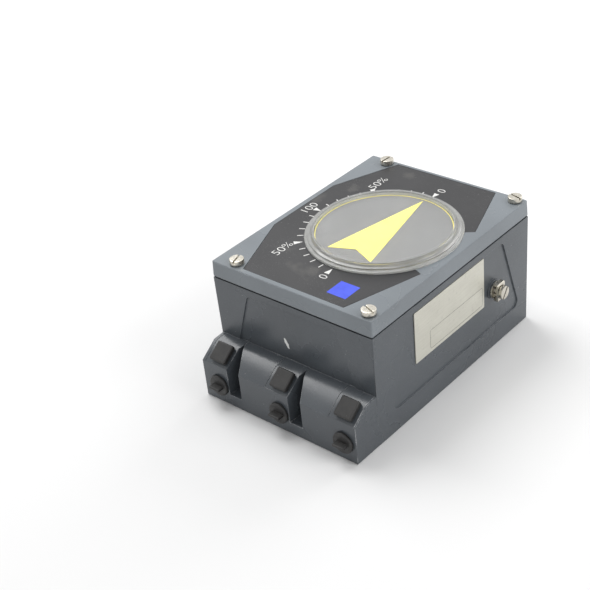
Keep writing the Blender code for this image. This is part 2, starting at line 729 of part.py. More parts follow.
def housing():
    """The casting: its drafted walls and its ledge are built past the base, then trimmed flat."""
    under = -HOLE_RUNOUT
    rim = body_half(BODY_HEIGHT)
    body = tapered_block("housing", under, body_half(under), BODY_HEIGHT, rim, GREY_PAINT, BODY_CORNER)
    cut(
        body,
        panel_cutter("front_panel", (0, -1, 0), END_PANEL),
        panel_cutter("back_panel", (0, 1, 0), END_PANEL),
        panel_cutter("right_panel", (1, 0, 0), SIDE_PANEL, SIDE_PANEL_BEHIND),
        panel_cutter("left_panel", (-1, 0, 0), SIDE_PANEL, -SIDE_PANEL_BEHIND),
    )
    join(body, *ledge_blocks())
    low_corner = (LEFT - HOLE_RUNOUT, LEDGE_FRONT - HOLE_RUNOUT, 2 * under)
    cut(body, block("below_base", low_corner, (RIGHT + HOLE_RUNOUT, BACK + HOLE_RUNOUT, 0)))
    earth = earth_frame()
    boss_start = earth @ Vector((0, 0, -WALL / 2))
    boss_end = earth @ Vector((0, 0, EARTH_BOSS_RISE))
    join(body, rod("earth_boss", EARTH_BOSS, boss_start, boss_end, sides=ROUND))
    cut(body, body_core(), *notch_cutters(), *port_cutters())
    cut(body, rod("spindle_hole", SPINDLE_RADIUS + SEAT, (0, 0, under), (0, 0, BEYOND), sides=ROUND))
    cut(body, rod("bush_seat", BUSH_RADIUS + SEAT, (0, 0, BUSH_SEAT), (0, 0, BEYOND), sides=ROUND))
    cut(body, rod("drive_recess", DRIVE_RECESS, (0, 0, under), (0, 0, DRIVE_DEPTH), sides=ROUND))
    for number, (x, y) in enumerate(base_hole_places(), 1):
        cut(body, rod(f"base_hole_{number}", BASE_HOLE, (x, y, under), (x, y, BASE_HOLE_DEPTH)))
    screw_end = COVER_TOP - COVER_SCREW_REACH
    for name, (x, y) in SCREW_PLACES.items():
        cut(body, rod("tapped_" + name, COVER_SCREW + SEAT, (x, y, screw_end - HOLE_RUNOUT), (x, y, BEYOND)))
    post = (FOLLOWER_X, FOLLOWER_Y)
    cut(body, rod("follower_pin_hole", FOLLOWER_PIN + SEAT, (*post, FOLLOWER_PIN_LOW), (*post, BEYOND)))
    post = (ARM_X, ARM_PIVOT_Y)
    cut(body, rod("arm_pin_hole", ARM_PIN + SEAT, (*post, FLOOR - ARM_PIN_SEAT), (*post, BEYOND)))
    inner = earth @ Vector((0, 0, -WALL + EARTH_BOSS_RISE))
    outer = earth @ Vector((0, 0, WALL))
    cut(body, rod("earth_hole", EARTH_SCREW + EARTH_SCREW_CLEARANCE, inner, outer))
    vent = breather_frame()
    inner = vent @ Vector((0, 0, -WALL - HOLE_RUNOUT))
    outer = vent @ Vector((0, 0, HOLE_RUNOUT))
    cut(body, rod("breather_hole", BREATHER_STEM + SEAT, inner, outer))


def earth_frame():
    """At the earth terminal on the right wall, with Z out of the wall."""
    along = SIDE_PANEL / 2 - EARTH_FROM_PANEL_END
    return wall_frame((1, 0, 0)) @ Matrix.Translation((along, -EARTH_BELOW_RIM, 0))


def breather_frame():
    """At the breather on the left wall's panel, with Z out of the wall."""
    below_rim = BODY_HEIGHT - BREATHER_ABOVE_BASE
    return wall_frame((-1, 0, 0)) @ Matrix.Translation((BREATHER_ALONG, -below_rim, -PANEL_DEPTH))


def cover_core():
    """The hollow under the cover, with its screw bosses left standing."""
    low = BODY_WIDTH / 2 - COVER_WALL, BODY_DEPTH / 2 - COVER_WALL
    lean = COVER_DRAFT * COVER_HEIGHT
    high = low[0] - lean, low[1] - lean
    core = tapered_block("cover_core", BODY_HEIGHT, low, COVER_TOP - COVER_PLATE, high, corner=BODY_CORNER)
    for name, (x, y) in SCREW_PLACES.items():
        cut(core, rod("column_" + name, SCREW_BOSS, (x, y, FLOOR), (x, y, COVER_TOP)))
    return core


def plate_outline(offset=0):
    """The scale plate's outline about the window, grown by the offset, with its gap at +X."""
    left = LEFT + PLATE_SIDE_MARGIN - offset
    right = RIGHT - PLATE_RIGHT_MARGIN + offset
    front = FRONT + PLATE_FRONT_MARGIN - offset
    back = BACK - PLATE_BACK_MARGIN + offset
    shoulder = PLATE_SHOULDER + offset / 2
    gap = PLATE_GAP - offset
    middle = PLATE_MIDDLE
    inner = SEAL_OUTER + PLATE_WINDOW_GAP - offset
    gap_angle = PLATE_GAP_ANGLE - offset / inner
    arc = []
    sweep = 2 * math.pi - 2 * gap_angle
    for step in range(37):
        turn = -gap_angle - sweep * step / 36
        arc.append((inner * math.cos(turn), inner * math.sin(turn)))
    left_taper = PLATE_LEFT_TAPER - offset / 3
    right_taper = PLATE_RIGHT_TAPER - offset / 3
    return [
        (left + left_taper, front),
        (right - right_taper, front),
        (right, middle - gap),
        *arc,
        (right, middle + gap),
        (right - right_taper, back),
        (left + left_taper, back),
        (left, middle + shoulder),
        (left, middle - shoulder),
    ]


def cover():
    low = BODY_WIDTH / 2, BODY_DEPTH / 2
    lean = COVER_DRAFT * (COVER_HEIGHT - SEAM)
    high = low[0] - lean, low[1] - lean
    lid = tapered_block("cover", COVER_BOTTOM, low, COVER_TOP, high, GREY_PAINT, BODY_CORNER + COVER_EDGE)
    edge = lid.modifiers.new("edge", "BEVEL")
    edge.width = COVER_EDGE
    edge.segments = 2
    edge.limit_method = "ANGLE"
    edge.angle_limit = math.radians(50)
    cut(lid, cover_core())
    cut(lid, rod("window_bore", WINDOW_BORE, (0, 0, COVER_BOTTOM), (0, 0, BEYOND), sides=FINE))
    seat_low = COVER_TOP - SEAL_HEIGHT - 2 * FILM
    cut(lid, rod("seal_seat", SEAL_OUTER + 2 * FILM, (0, 0, seat_low), (0, 0, BEYOND), sides=FINE))
    recess_floor = COVER_TOP - PLATE_RECESS
    cut(lid, outline_solid("plate_recess", plate_outline(SEAT), recess_floor, BEYOND, Matrix()))
    for name, (x, y) in SCREW_PLACES.items():
        cut(lid, rod("clear_" + name, COVER_SCREW + SCREW_CLEARANCE, (x, y, FLOOR), (x, y, BEYOND)))


def cover_gasket():
    low = BODY_HEIGHT + GASKET_FILM
    high = COVER_BOTTOM - GASKET_FILM
    half = BODY_WIDTH / 2 - GASKET_INSET, BODY_DEPTH / 2 - GASKET_INSET
    sheet = tapered_block("cover_gasket", low, half, high, half, RUBBER, BODY_CORNER)
    cut(sheet, bpy.data.objects["body_core"])
    for name in SCREW_PLACES:
        cut(sheet, bpy.data.objects["clear_" + name])


def cheese_head_screw(name, place, head, head_height, shank, length, slot_turn, material):
    """A slotted screw whose head seats at the placing's origin and points along its Z."""
    edge = head * 0.10
    profile = [
        (0, head_height),
        (head - edge, head_height),
        (head, head_height - edge),
        (head, 0),
        (shank, 0),
        (shank, -length + shank * 0.3),
        (shank * 0.7, -length),
        (0, -length),
    ]
    screw = turned(name, profile, place, material, steps=ROUND if head > EARTH_SCREW_HEAD - SEAT else SMALL)
    slot_width = head * 0.26
    slot = block(
        name + "_slot",
        (-head * 1.2, -slot_width / 2, head_height * 0.62),
        (head * 1.2, slot_width / 2, head_height * 1.5),
    )
    slot.matrix_world = place @ Matrix.Rotation(math.radians(slot_turn), 4, "Z")
    cut(screw, slot)
    return screw


def cover_screws():
    for name, (x, y) in SCREW_PLACES.items():
        place = Matrix.Translation((x, y, COVER_TOP + SEAT))
        cheese_head_screw(
            "cover_screw_" + name,
            place,
            COVER_SCREW_HEAD,
            COVER_SCREW_HEAD_HEIGHT,
            COVER_SCREW,
            COVER_SCREW_REACH,
            SLOT_ANGLES[name],
            NICKEL,
        )


def window():
    """The clear cup: a flange on the cover, a stepped wall, a flat top and a spigot in the bore."""
    inner = WINDOW_SPIGOT - WINDOW_WALL
    low = SEAT
    flange_top = low + WINDOW_FLANGE_HEIGHT
    top = WINDOW_RISE
    spigot_low = -COVER_PLATE - SPIGOT_BELOW_COVER
    groove_top = -COVER_PLATE - SEAT
    groove_low = groove_top - CLIP_THICKNESS - SEAT
    groove = WINDOW_SPIGOT - CLIP_GROOVE
    step = WINDOW_SPIGOT + WINDOW_STEP_WIDTH
    profile = [
        (0, top),
        (WINDOW_SPIGOT - WINDOW_ROUNDING, top),
        (WINDOW_SPIGOT, top - WINDOW_ROUNDING),
        (WINDOW_SPIGOT + WINDOW_STEP, flange_top + WINDOW_STEP),
        (step - FILM, flange_top + WINDOW_STEP),
        (step, flange_top),
        (WINDOW_FLANGE - WINDOW_ROUNDING, flange_top),
        (WINDOW_FLANGE, flange_top - WINDOW_ROUNDING),
        (WINDOW_FLANGE, low),
        (WINDOW_SPIGOT, low),
        (WINDOW_SPIGOT, groove_top),
        (groove, groove_top),
        (groove, groove_low),
        (WINDOW_SPIGOT, groove_low),
        (WINDOW_SPIGOT, spigot_low),
        (inner, spigot_low),
        (inner, top - WINDOW_TOP - WINDOW_ROUNDING),
        (inner - WINDOW_ROUNDING, top - WINDOW_TOP),
        (0, top - WINDOW_TOP),
    ]
    clear = turned("indicator_window", profile, Matrix.Translation((0, 0, COVER_TOP)), CLEAR, steps=FINE)
    low_corner = (WINDOW_FLANGE - WINDOW_STEP, -WINDOW_STEP, -WINDOW_STEP)
    high_corner = (WINDOW_FLANGE + WINDOW_STEP, WINDOW_STEP, WINDOW_ROUNDING)
    pry = block("pry_notch", low_corner, high_corner)
    pry.location = (0, 0, COVER_TOP)
    cut(clear, pry)


def window_fixing():
    """The seal under the window's flange, and the snap ring in the spigot's groove under the cover."""
    seal_top = COVER_TOP - FILM
    seal = [
        (SEAL_INNER, seal_top),
        (SEAL_OUTER, seal_top),
        (SEAL_OUTER, seal_top - SEAL_HEIGHT),
        (SEAL_INNER, seal_top - SEAL_HEIGHT),
    ]
    turned("window_seal", seal, Matrix(), RUBBER, steps=FINE, ring=True)

    ring_top = COVER_TOP - COVER_PLATE - SEAT - RUNNING
    ring_inner = WINDOW_SPIGOT - 2 * FILM
    outline = []
    opening = CLIP_OPENING
    for radius, direction in ((WINDOW_SPIGOT + CLIP_WIDTH, 1), (ring_inner, -1)):
        for step in range(41):
            turn = opening + (2 * math.pi - 2 * opening) * step / 40
            turn = turn if direction > 0 else -turn
            outline.append((radius * math.cos(turn), radius * math.sin(turn)))
    outline_solid("window_clip", outline, ring_top - CLIP_THICKNESS, ring_top, Matrix(), STEEL)


def scale_plate():
    low = COVER_TOP - PLATE_RECESS + FILM
    outline_solid("scale_plate", plate_outline(), low, low + PLATE_THICKNESS, Matrix(), SCALE_BLACK)


def arrow_outline(grow=0):
    barb = DISC_RADIUS - ARROW_BARB_GAP
    barb_x = barb * math.sin(ARROW_BARB_ANGLE)
    barb_y = -barb * math.cos(ARROW_BARB_ANGLE)
    return [
        (0, DISC_RADIUS - ARROW_TIP_GAP + grow * 4),
        (-barb_x - grow, barb_y - grow * 1.6),
        (0, ARROW_NOTCH_GAP - DISC_RADIUS - grow),
        (barb_x + grow, barb_y - grow * 1.6),
    ]


def indicator():
    """The yellow disc with its raised arrow, the grey mask round the arrow, and the hub."""
    body_top = DISC_BOTTOM + DISC_THICKNESS
    profile = [
        (0, body_top),
        (DISC_RADIUS - SEAT, body_top),
        (DISC_RADIUS, body_top - SEAT),
        (DISC_RADIUS, DISC_BOTTOM),
        (0, DISC_BOTTOM),
    ]
    disc = turned("indicator_disc", profile, Matrix(), YELLOW, steps=FINE)
    arrow = outline_solid("arrow", arrow_outline(), body_top - ARROW_ROOT, DISC_TOP, Matrix())
    join(disc, arrow)
    mask_low = body_top + FILM
    rim = circle(DISC_RADIUS - MASK_RIM, FINE)
    hole = arrow_outline(FILM)
    mask = outline_solid("indicator_mask", rim, mask_low, DISC_TOP, Matrix(), MASK_GREY, [hole])

    hub_top = DISC_BOTTOM - FILM
    hub_low = CAM_TOP + SEAT + CAM_NUT_HEIGHT + HUB_ABOVE_NUT
    bore_top = hub_top - HUB_ROOF
    flange_low = hub_top - HUB_FLANGE_THICKNESS
    bore = SPINDLE_TIP + FILM
    profile = [
        (0, hub_top),
        (HUB_FLANGE, hub_top),
        (HUB_FLANGE, flange_low),
        (HUB_RADIUS, flange_low - HUB_FLARE),
        (HUB_RADIUS, hub_low),
        (bore, hub_low),
        (bore, bore_top),
        (0, bore_top),
    ]
    hub = turned("indicator_hub", profile, Matrix(), BLACK_PLASTIC)
    return [disc, mask, hub]


def spindle():
    """The spindle with its flatted drive end, its bush and ring below and the cam's seat above."""
    ring_middle = DRIVE_DEPTH + RING_LAND / 2
    ring_outer = SPINDLE_RADIUS + 2 * FILM
    groove = ring_outer - 2 * RING_SECTION - FILM
    tip_top = DISC_BOTTOM - FILM - HUB_ROOF - SEAT
    seat_radius = SPINDLE_NECK + CAM_SEAT_WIDTH
    seat_top = CAM_BOTTOM - SEAT
    seat_low = seat_top - CAM_SEAT_HEIGHT
    profile = [
        (0, tip_top),
        (SPINDLE_TIP - SPINDLE_CHAMFER, tip_top),
        (SPINDLE_TIP, tip_top - SPINDLE_CHAMFER),
        (SPINDLE_TIP, seat_top),
        (seat_radius, seat_top),
        (seat_radius, seat_low),
        (SPINDLE_NECK, seat_low - 2 * CAM_SEAT_WIDTH),
        (SPINDLE_NECK, COLLAR_TOP + COLLAR_FILLET),
        (SPINDLE_NECK + COLLAR_FILLET, COLLAR_TOP),
        (BUSH_RADIUS, COLLAR_TOP),
        (BUSH_RADIUS, BUSH_TOP + SEAT),
        (SPINDLE_RADIUS, BUSH_TOP + SEAT),
        (SPINDLE_RADIUS, ring_middle + RING_GROOVE),
        (groove, ring_middle + RING_GROOVE),
        (groove, ring_middle - RING_GROOVE),
        (SPINDLE_RADIUS, ring_middle - RING_GROOVE),
        (SPINDLE_RADIUS, SPINDLE_CHAMFER),
        (SPINDLE_RADIUS - SPINDLE_CHAMFER, 0),
        (0, 0),
    ]
    shaft = turned("spindle", profile, Matrix(), STEEL)
    for side in (-1, 1):
        near, far = side * SPINDLE_FLAT, side * DRIVE_RECESS
        low = (min(near, far), -DRIVE_RECESS, -HOLE_RUNOUT)
        high = (max(near, far), DRIVE_RECESS, DRIVE_DEPTH - 2 * SEAT)
        cut(shaft, block("drive_flat_left" if side < 0 else "drive_flat_right", low, high))

    section = circle(RING_SECTION, 6, (ring_outer - RING_SECTION, ring_middle))
    o_ring = turned("spindle_ring", section[::-1], Matrix(), RUBBER, ring=True)

    bush_low = BUSH_SEAT + SEAT
    bush = [
        (SPINDLE_RADIUS + RUNNING, BUSH_TOP),
        (BUSH_RADIUS, BUSH_TOP),
        (BUSH_RADIUS, bush_low),
        (SPINDLE_RADIUS + RUNNING, bush_low),
    ]
    turned("spindle_bush", bush, Matrix(), BRONZE, ring=True)
    return [shaft, o_ring]


def cam_outline():
    """The cam's edge: where the roller rides, offset inwards from the path of its centre."""
    path = []
    count = 30
    for step in range(count + 1):
        turn = -CAM_OVERTRAVEL + (CAM_TRAVEL + 2 * CAM_OVERTRAVEL) * step / count
        centre = follower_point(FOLLOWER_LENGTH, turn)
        back = Matrix.Rotation(-turn, 2)
        path.append(back @ centre)
    edge = []
    for step, centre in enumerate(path):
        ahead = path[min(step + 1, count)]
        behind = path[max(step - 1, 0)]
        tangent = (ahead - behind).normalized()
        inward = Vector((-tangent.y, tangent.x))
        if inward.dot(centre) > 0:
            inward = -inward
        edge.append(centre + inward * (ROLLER_RADIUS + RUNNING))
    first, last = edge[0], edge[-1]
    start_turn = math.atan2(last.y, last.x)
    end_turn = math.atan2(first.y, first.x)
    if end_turn > start_turn:
        end_turn -= 2 * math.pi
    relief = []
    steps = 26
    for step in range(1, steps):
        share = step / steps
        turn = start_turn + (end_turn - start_turn) * share
        fall = 0.5 + 0.5 * math.cos(math.pi * min(1, share / 0.34))
        rise = 0.5 - 0.5 * math.cos(math.pi * max(0, (share - 0.80) / 0.20))
        radius = CAM_RELIEF + (last.length - CAM_RELIEF) * fall + (first.length - CAM_RELIEF) * rise
        relief.append((radius * math.cos(turn), radius * math.sin(turn)))
    return [tuple(point) for point in edge] + relief


def cam():
    """The snail cam, keyed on the spindle, and its knurled lock nut."""
    bore = circle(SPINDLE_TIP + FILM, ROUND)
    reach = (CAM_RELIEF + SPINDLE_TIP) / 2
    spots = [(reach * math.cos(turn), reach * math.sin(turn)) for turn in (0.6, 2.7, 4.8)]
    index_holes = [circle(CAM_INDEX_HOLE, 8, spot) for spot in spots]
    plate = outline_solid("cam", cam_outline(), CAM_BOTTOM, CAM_TOP, Matrix(), STEEL, [bore, *index_holes])
    low = CAM_TOP + SEAT
    nut_bore = SPINDLE_TIP + FILM
    teeth = []
    for step in range(40):
        radius = CAM_NUT if step % 4 < 2 else CAM_NUT - CAM_NUT_KNURL
        turn = 2 * math.pi * step / 40
        teeth.append((radius * math.cos(turn), radius * math.sin(turn)))
    bore = circle(nut_bore, ROUND)
    nut = outline_solid("cam_nut", teeth, low, low + CAM_NUT_HEIGHT, Matrix(), BRASS, [bore])
    return [plate, nut]


def tangent_arm(ends, radii, steps=8):
    """The outline round two circles and the straight lines that join them."""
    first, second = Vector(ends[0]), Vector(ends[1])
    heading = math.atan2(second.y - first.y, second.x - first.x)
    tilt = math.acos((radii[0] - radii[1]) / (second - first).length)
    outline = []
    for centre, radius, start, sweep in (
        (second, radii[1], heading - tilt, 2 * tilt),
        (first, radii[0], heading + tilt, 2 * (math.pi - tilt)),
    ):
        for step in range(steps + 1):
            turn = start + sweep * step / steps
            outline.append((centre.x + radius * math.cos(turn), centre.y + radius * math.sin(turn)))
    return outline


def follower():
    """The follower arm on its shoulder pin, with the roller at its end and the spring's post below."""
    pivot = Vector((FOLLOWER_X, FOLLOWER_Y))
    tip = follower_point(FOLLOWER_LENGTH)
    outline = tangent_arm((pivot, tip), (FOLLOWER_HUB, FOLLOWER_WIDTH / 2))
    arm = outline_solid("follower_arm", outline, ARM_PLATE_BOTTOM, ARM_PLATE_TOP, Matrix(), DIE_CAST)
    hub_low = FOLLOWER_POST_TOP + SEAT
    hub_top = ARM_PLATE_TOP - 2 * FILM
    join(arm, rod("follower_hub", FOLLOWER_HUB, (*pivot, hub_low), (*pivot, hub_top), sides=ROUND))
    post_low = SPRING_HEIGHT - POST_SIZE * 0.6
    post_top = ARM_PLATE_BOTTOM + FOLLOWER_THICKNESS / 3
    x, y = SPRING_START
    half = POST_SIZE / 2
    join(arm, block("spring_post", (x - half, y - half, post_low), (x + half, y + half, post_top)))
    cut(arm, rod("pivot_hole", FOLLOWER_PIN + RUNNING, (*pivot, FLOOR), (*pivot, BEYOND), sides=ROUND))
    cut(arm, rod("roller_pin_hole", ROLLER_PIN + FILM, (*tip, FLOOR), (*tip, BEYOND)))
    hole_start = (x - POST_SIZE, y, SPRING_HEIGHT)
    hole_end = (x + POST_SIZE, y, SPRING_HEIGHT)
    cut(arm, rod("zero_screw_hole", ZERO_SCREW + RUNNING, hole_start, hole_end))
    middle = follower_point((SPRING_REACH + POST_SIZE / 2 + FOLLOWER_LENGTH - ROLLER_PIN) / 2)
    cut(arm, rod("lightening_hole", FOLLOWER_WIDTH * 0.26, (*middle, FLOOR), (*middle, BEYOND)))

    pin_head = ARM_PLATE_TOP + SEAT
    head_top = pin_head + FOLLOWER_PIN_HEAD
    head = FOLLOWER_HUB - FOLLOWER_PIN_HEAD
    pin_end = FOLLOWER_PIN_LOW + SEAT
    pin = [
        (0, head_top),
        (head - SPINDLE_CHAMFER, head_top),
        (head, head_top - SPINDLE_CHAMFER),
        (head, pin_head),
        (FOLLOWER_PIN, pin_head),
        (FOLLOWER_PIN, pin_end),
        (0, pin_end),
    ]
    turned("follower_pin", pin, Matrix.Translation((*pivot, 0)), STEEL, steps=ROUND)

    roller_low = CAM_BOTTOM + CAM_THICKNESS / 2 - ROLLER_HEIGHT / 2
    roller_top = roller_low + ROLLER_HEIGHT
    roller = [
        (ROLLER_PIN + RUNNING, roller_top),
        (ROLLER_RADIUS - ROLLER_CHAMFER, roller_top),
        (ROLLER_RADIUS, roller_top - ROLLER_CHAMFER),
        (ROLLER_RADIUS, roller_low + ROLLER_CHAMFER),
        (ROLLER_RADIUS - ROLLER_CHAMFER, roller_low),
        (ROLLER_PIN + RUNNING, roller_low),
    ]
    wheel = turned("follower_roller", roller, Matrix.Translation((*tip, 0)), BRASS, ring=True)

    head_low = roller_top + 2 * FILM
    head = ROLLER_PIN + ROLLER_PIN_HEAD
    pin_end = ARM_PLATE_BOTTOM - ROLLER_PIN_END
    roller_pin = [
        (0, head_low + ROLLER_PIN_HEAD),
        (head, head_low + ROLLER_PIN_HEAD),
        (head, head_low),
        (ROLLER_PIN, head_low),
        (ROLLER_PIN, pin_end),
        (0, pin_end),
    ]
    axle = turned("roller_pin", roller_pin, Matrix.Translation((*tip, 0)), STEEL, steps=SMALL)
    hang_on("roller_axis", (*tip, 0), [wheel])
    hang_on("follower_axis", (*pivot, 0), [arm, axle])


def zero_adjuster():
    """The zero screw through the follower's post, with its thumb wheel and the spring's plug."""
    x, y = SPRING_START
    post_left = -POST_SIZE / 2
    post_right = POST_SIZE / 2 + SEAT
    place = along_x(x, y, SPRING_HEIGHT)
    plug_end = post_right + SPRING_PLUG_LENGTH
    profile = [
        (0, plug_end),
        (SPRING_PLUG - ROLLER_CHAMFER, plug_end),
        (SPRING_PLUG, plug_end - ROLLER_CHAMFER),
        (SPRING_PLUG, post_right),
        (ZERO_SCREW, post_right),
        (ZERO_SCREW, post_left - ZERO_SCREW_LENGTH + SPINDLE_CHAMFER),
        (ZERO_SCREW - SPINDLE_CHAMFER, post_left - ZERO_SCREW_LENGTH),
        (0, post_left - ZERO_SCREW_LENGTH),
    ]
    screw = turned("zero_screw", profile, place, BRASS, steps=SMALL)
    teeth = []
    points = ZERO_WHEEL_TEETH * 4
    for step in range(points):
        radius = ZERO_WHEEL if step % 4 < 2 else ZERO_WHEEL - ZERO_WHEEL_KNURL
        turn = 2 * math.pi * step / points
        teeth.append((radius * math.cos(turn), radius * math.sin(turn)))
    wheel_high = post_left - ZERO_WHEEL_GAP
    wheel = outline_solid(
        "zero_wheel",
        teeth,
        wheel_high - ZERO_WHEEL_WIDTH,
        wheel_high,
        place,
        BLACK_PLASTIC,
        [circle(ZERO_SCREW + FILM, SMALL)],
    )
    hang_on("zero_axis", (x, y, SPRING_HEIGHT), [screw, wheel])


def feedback_spring():
    """The coil between the zero screw's plug and the plug on the balance arm."""
    x, y = SPRING_START
    start = x + POST_SIZE / 2 + SEAT + SPRING_END_GAP
    end = SPRING_END_X - SPRING_END_GAP
    per_turn = 10
    count = SPRING_TURNS * per_turn
    curve = bpy.data.curves.new("feedback_spring", "CURVE")
    curve.dimensions = "3D"
    curve.bevel_depth = SPRING_WIRE
    curve.bevel_resolution = 2
    curve.use_fill_caps = True
    spline = curve.splines.new("POLY")
    spline.points.add(count)
    for step, spot in enumerate(spline.points):
        turn = 2 * math.pi * step / per_turn
        along = start + (end - start) * step / count
        aside, above = SPRING_RADIUS * math.cos(turn), SPRING_RADIUS * math.sin(turn)
        spot.co = (along, y + aside, SPRING_HEIGHT + above, 1)
    curve.materials.append(STEEL)
    PARTS.objects.link(bpy.data.objects.new("feedback_spring", curve))


def balance_arm():
    """The arm on its pivot, forked round the spool's neck, with a tab for the spring's plug."""
    low_x, high_x = ARM_X - ARM_THICKNESS / 2, ARM_X + ARM_THICKNESS / 2
    low_z, high_z = ARM_LOW, ARM_HIGH
    front, back = PILOT_Y - ARM_END, CAPSULE_Y + ARM_END
    spring_y = SPRING_START.y
    tab = ARM_TAB / 2
    tab_top = SPRING_HEIGHT + ARM_TAB / 2
    outline = [
        (front, low_z),
        (back, low_z),
        (back, high_z),
        (spring_y + tab + ARM_TAB_FLARE, high_z),
        (spring_y + tab, high_z + ARM_TAB_FLARE),
        (spring_y + tab, tab_top),
        (spring_y - tab, tab_top),
        (spring_y - tab, high_z + ARM_TAB_FLARE),
        (spring_y - tab - ARM_TAB_FLARE, high_z),
        (front, high_z),
    ]
    arm = outline_solid("balance_arm", outline, low_x, high_x, frame_at((0, 0, 0), BACKWARD, UP), DIE_CAST)
    pivot = (ARM_X, ARM_PIVOT_Y)
    hub_top = high_z + ARM_HUB_RISE
    join(arm, rod("arm_hub", ARM_HUB, (*pivot, ARM_POST_TOP + SEAT), (*pivot, hub_top), sides=ROUND))
    plug_start = low_x + ARM_THICKNESS / 2
    plug_end = SPRING_END_X - SPRING_PLUG_LENGTH
    plug = (spring_y, SPRING_HEIGHT)
    join(arm, rod("spring_plug", SPRING_PLUG, (plug_start, *plug), (plug_end, *plug)))
    cut(arm, rod("arm_pivot_hole", ARM_PIN + RUNNING, (*pivot, 0), (*pivot, BEYOND), sides=ROUND))
    slot = SPOOL_LINK + ARM_FORK_GAP
    fork_low = (low_x - ARM_THICKNESS, PILOT_Y - slot, 0)
    fork_high = (high_x + ARM_THICKNESS, PILOT_Y + slot, LINK_HEIGHT + slot)
    cut(arm, block("spool_fork", fork_low, fork_high))
    middle = (PILOT_Y + ARM_PIVOT_Y) / 2
    spots = (middle - ARM_HOLE_SPREAD, middle + ARM_HOLE_SPREAD, CAPSULE_Y - ARM_HOLE_TO_STEM)
    for number, y in enumerate(spots, 1):
        hole_start = (low_x - ARM_THICKNESS, y, LINK_HEIGHT)
        hole_end = (high_x + ARM_THICKNESS, y, LINK_HEIGHT)
        cut(arm, rod(f"arm_hole_{number}", ARM_HOLE, hole_start, hole_end))

    head_low = hub_top + SEAT
    head_top = head_low + ARM_PIN_HEAD
    head = ARM_PIN + ARM_PIN_RIM
    pin_end = FLOOR - ARM_PIN_SEAT + SEAT
    pin = [
        (0, head_top),
        (head - ROLLER_CHAMFER, head_top),
        (head, head_top - ROLLER_CHAMFER),
        (head, head_low),
        (ARM_PIN, head_low),
        (ARM_PIN, pin_end),
        (0, pin_end),
    ]
    turned("balance_pin", pin, Matrix.Translation((*pivot, 0)), STEEL, steps=ROUND)
    hang_on("balance_axis", (*pivot, 0), [arm])


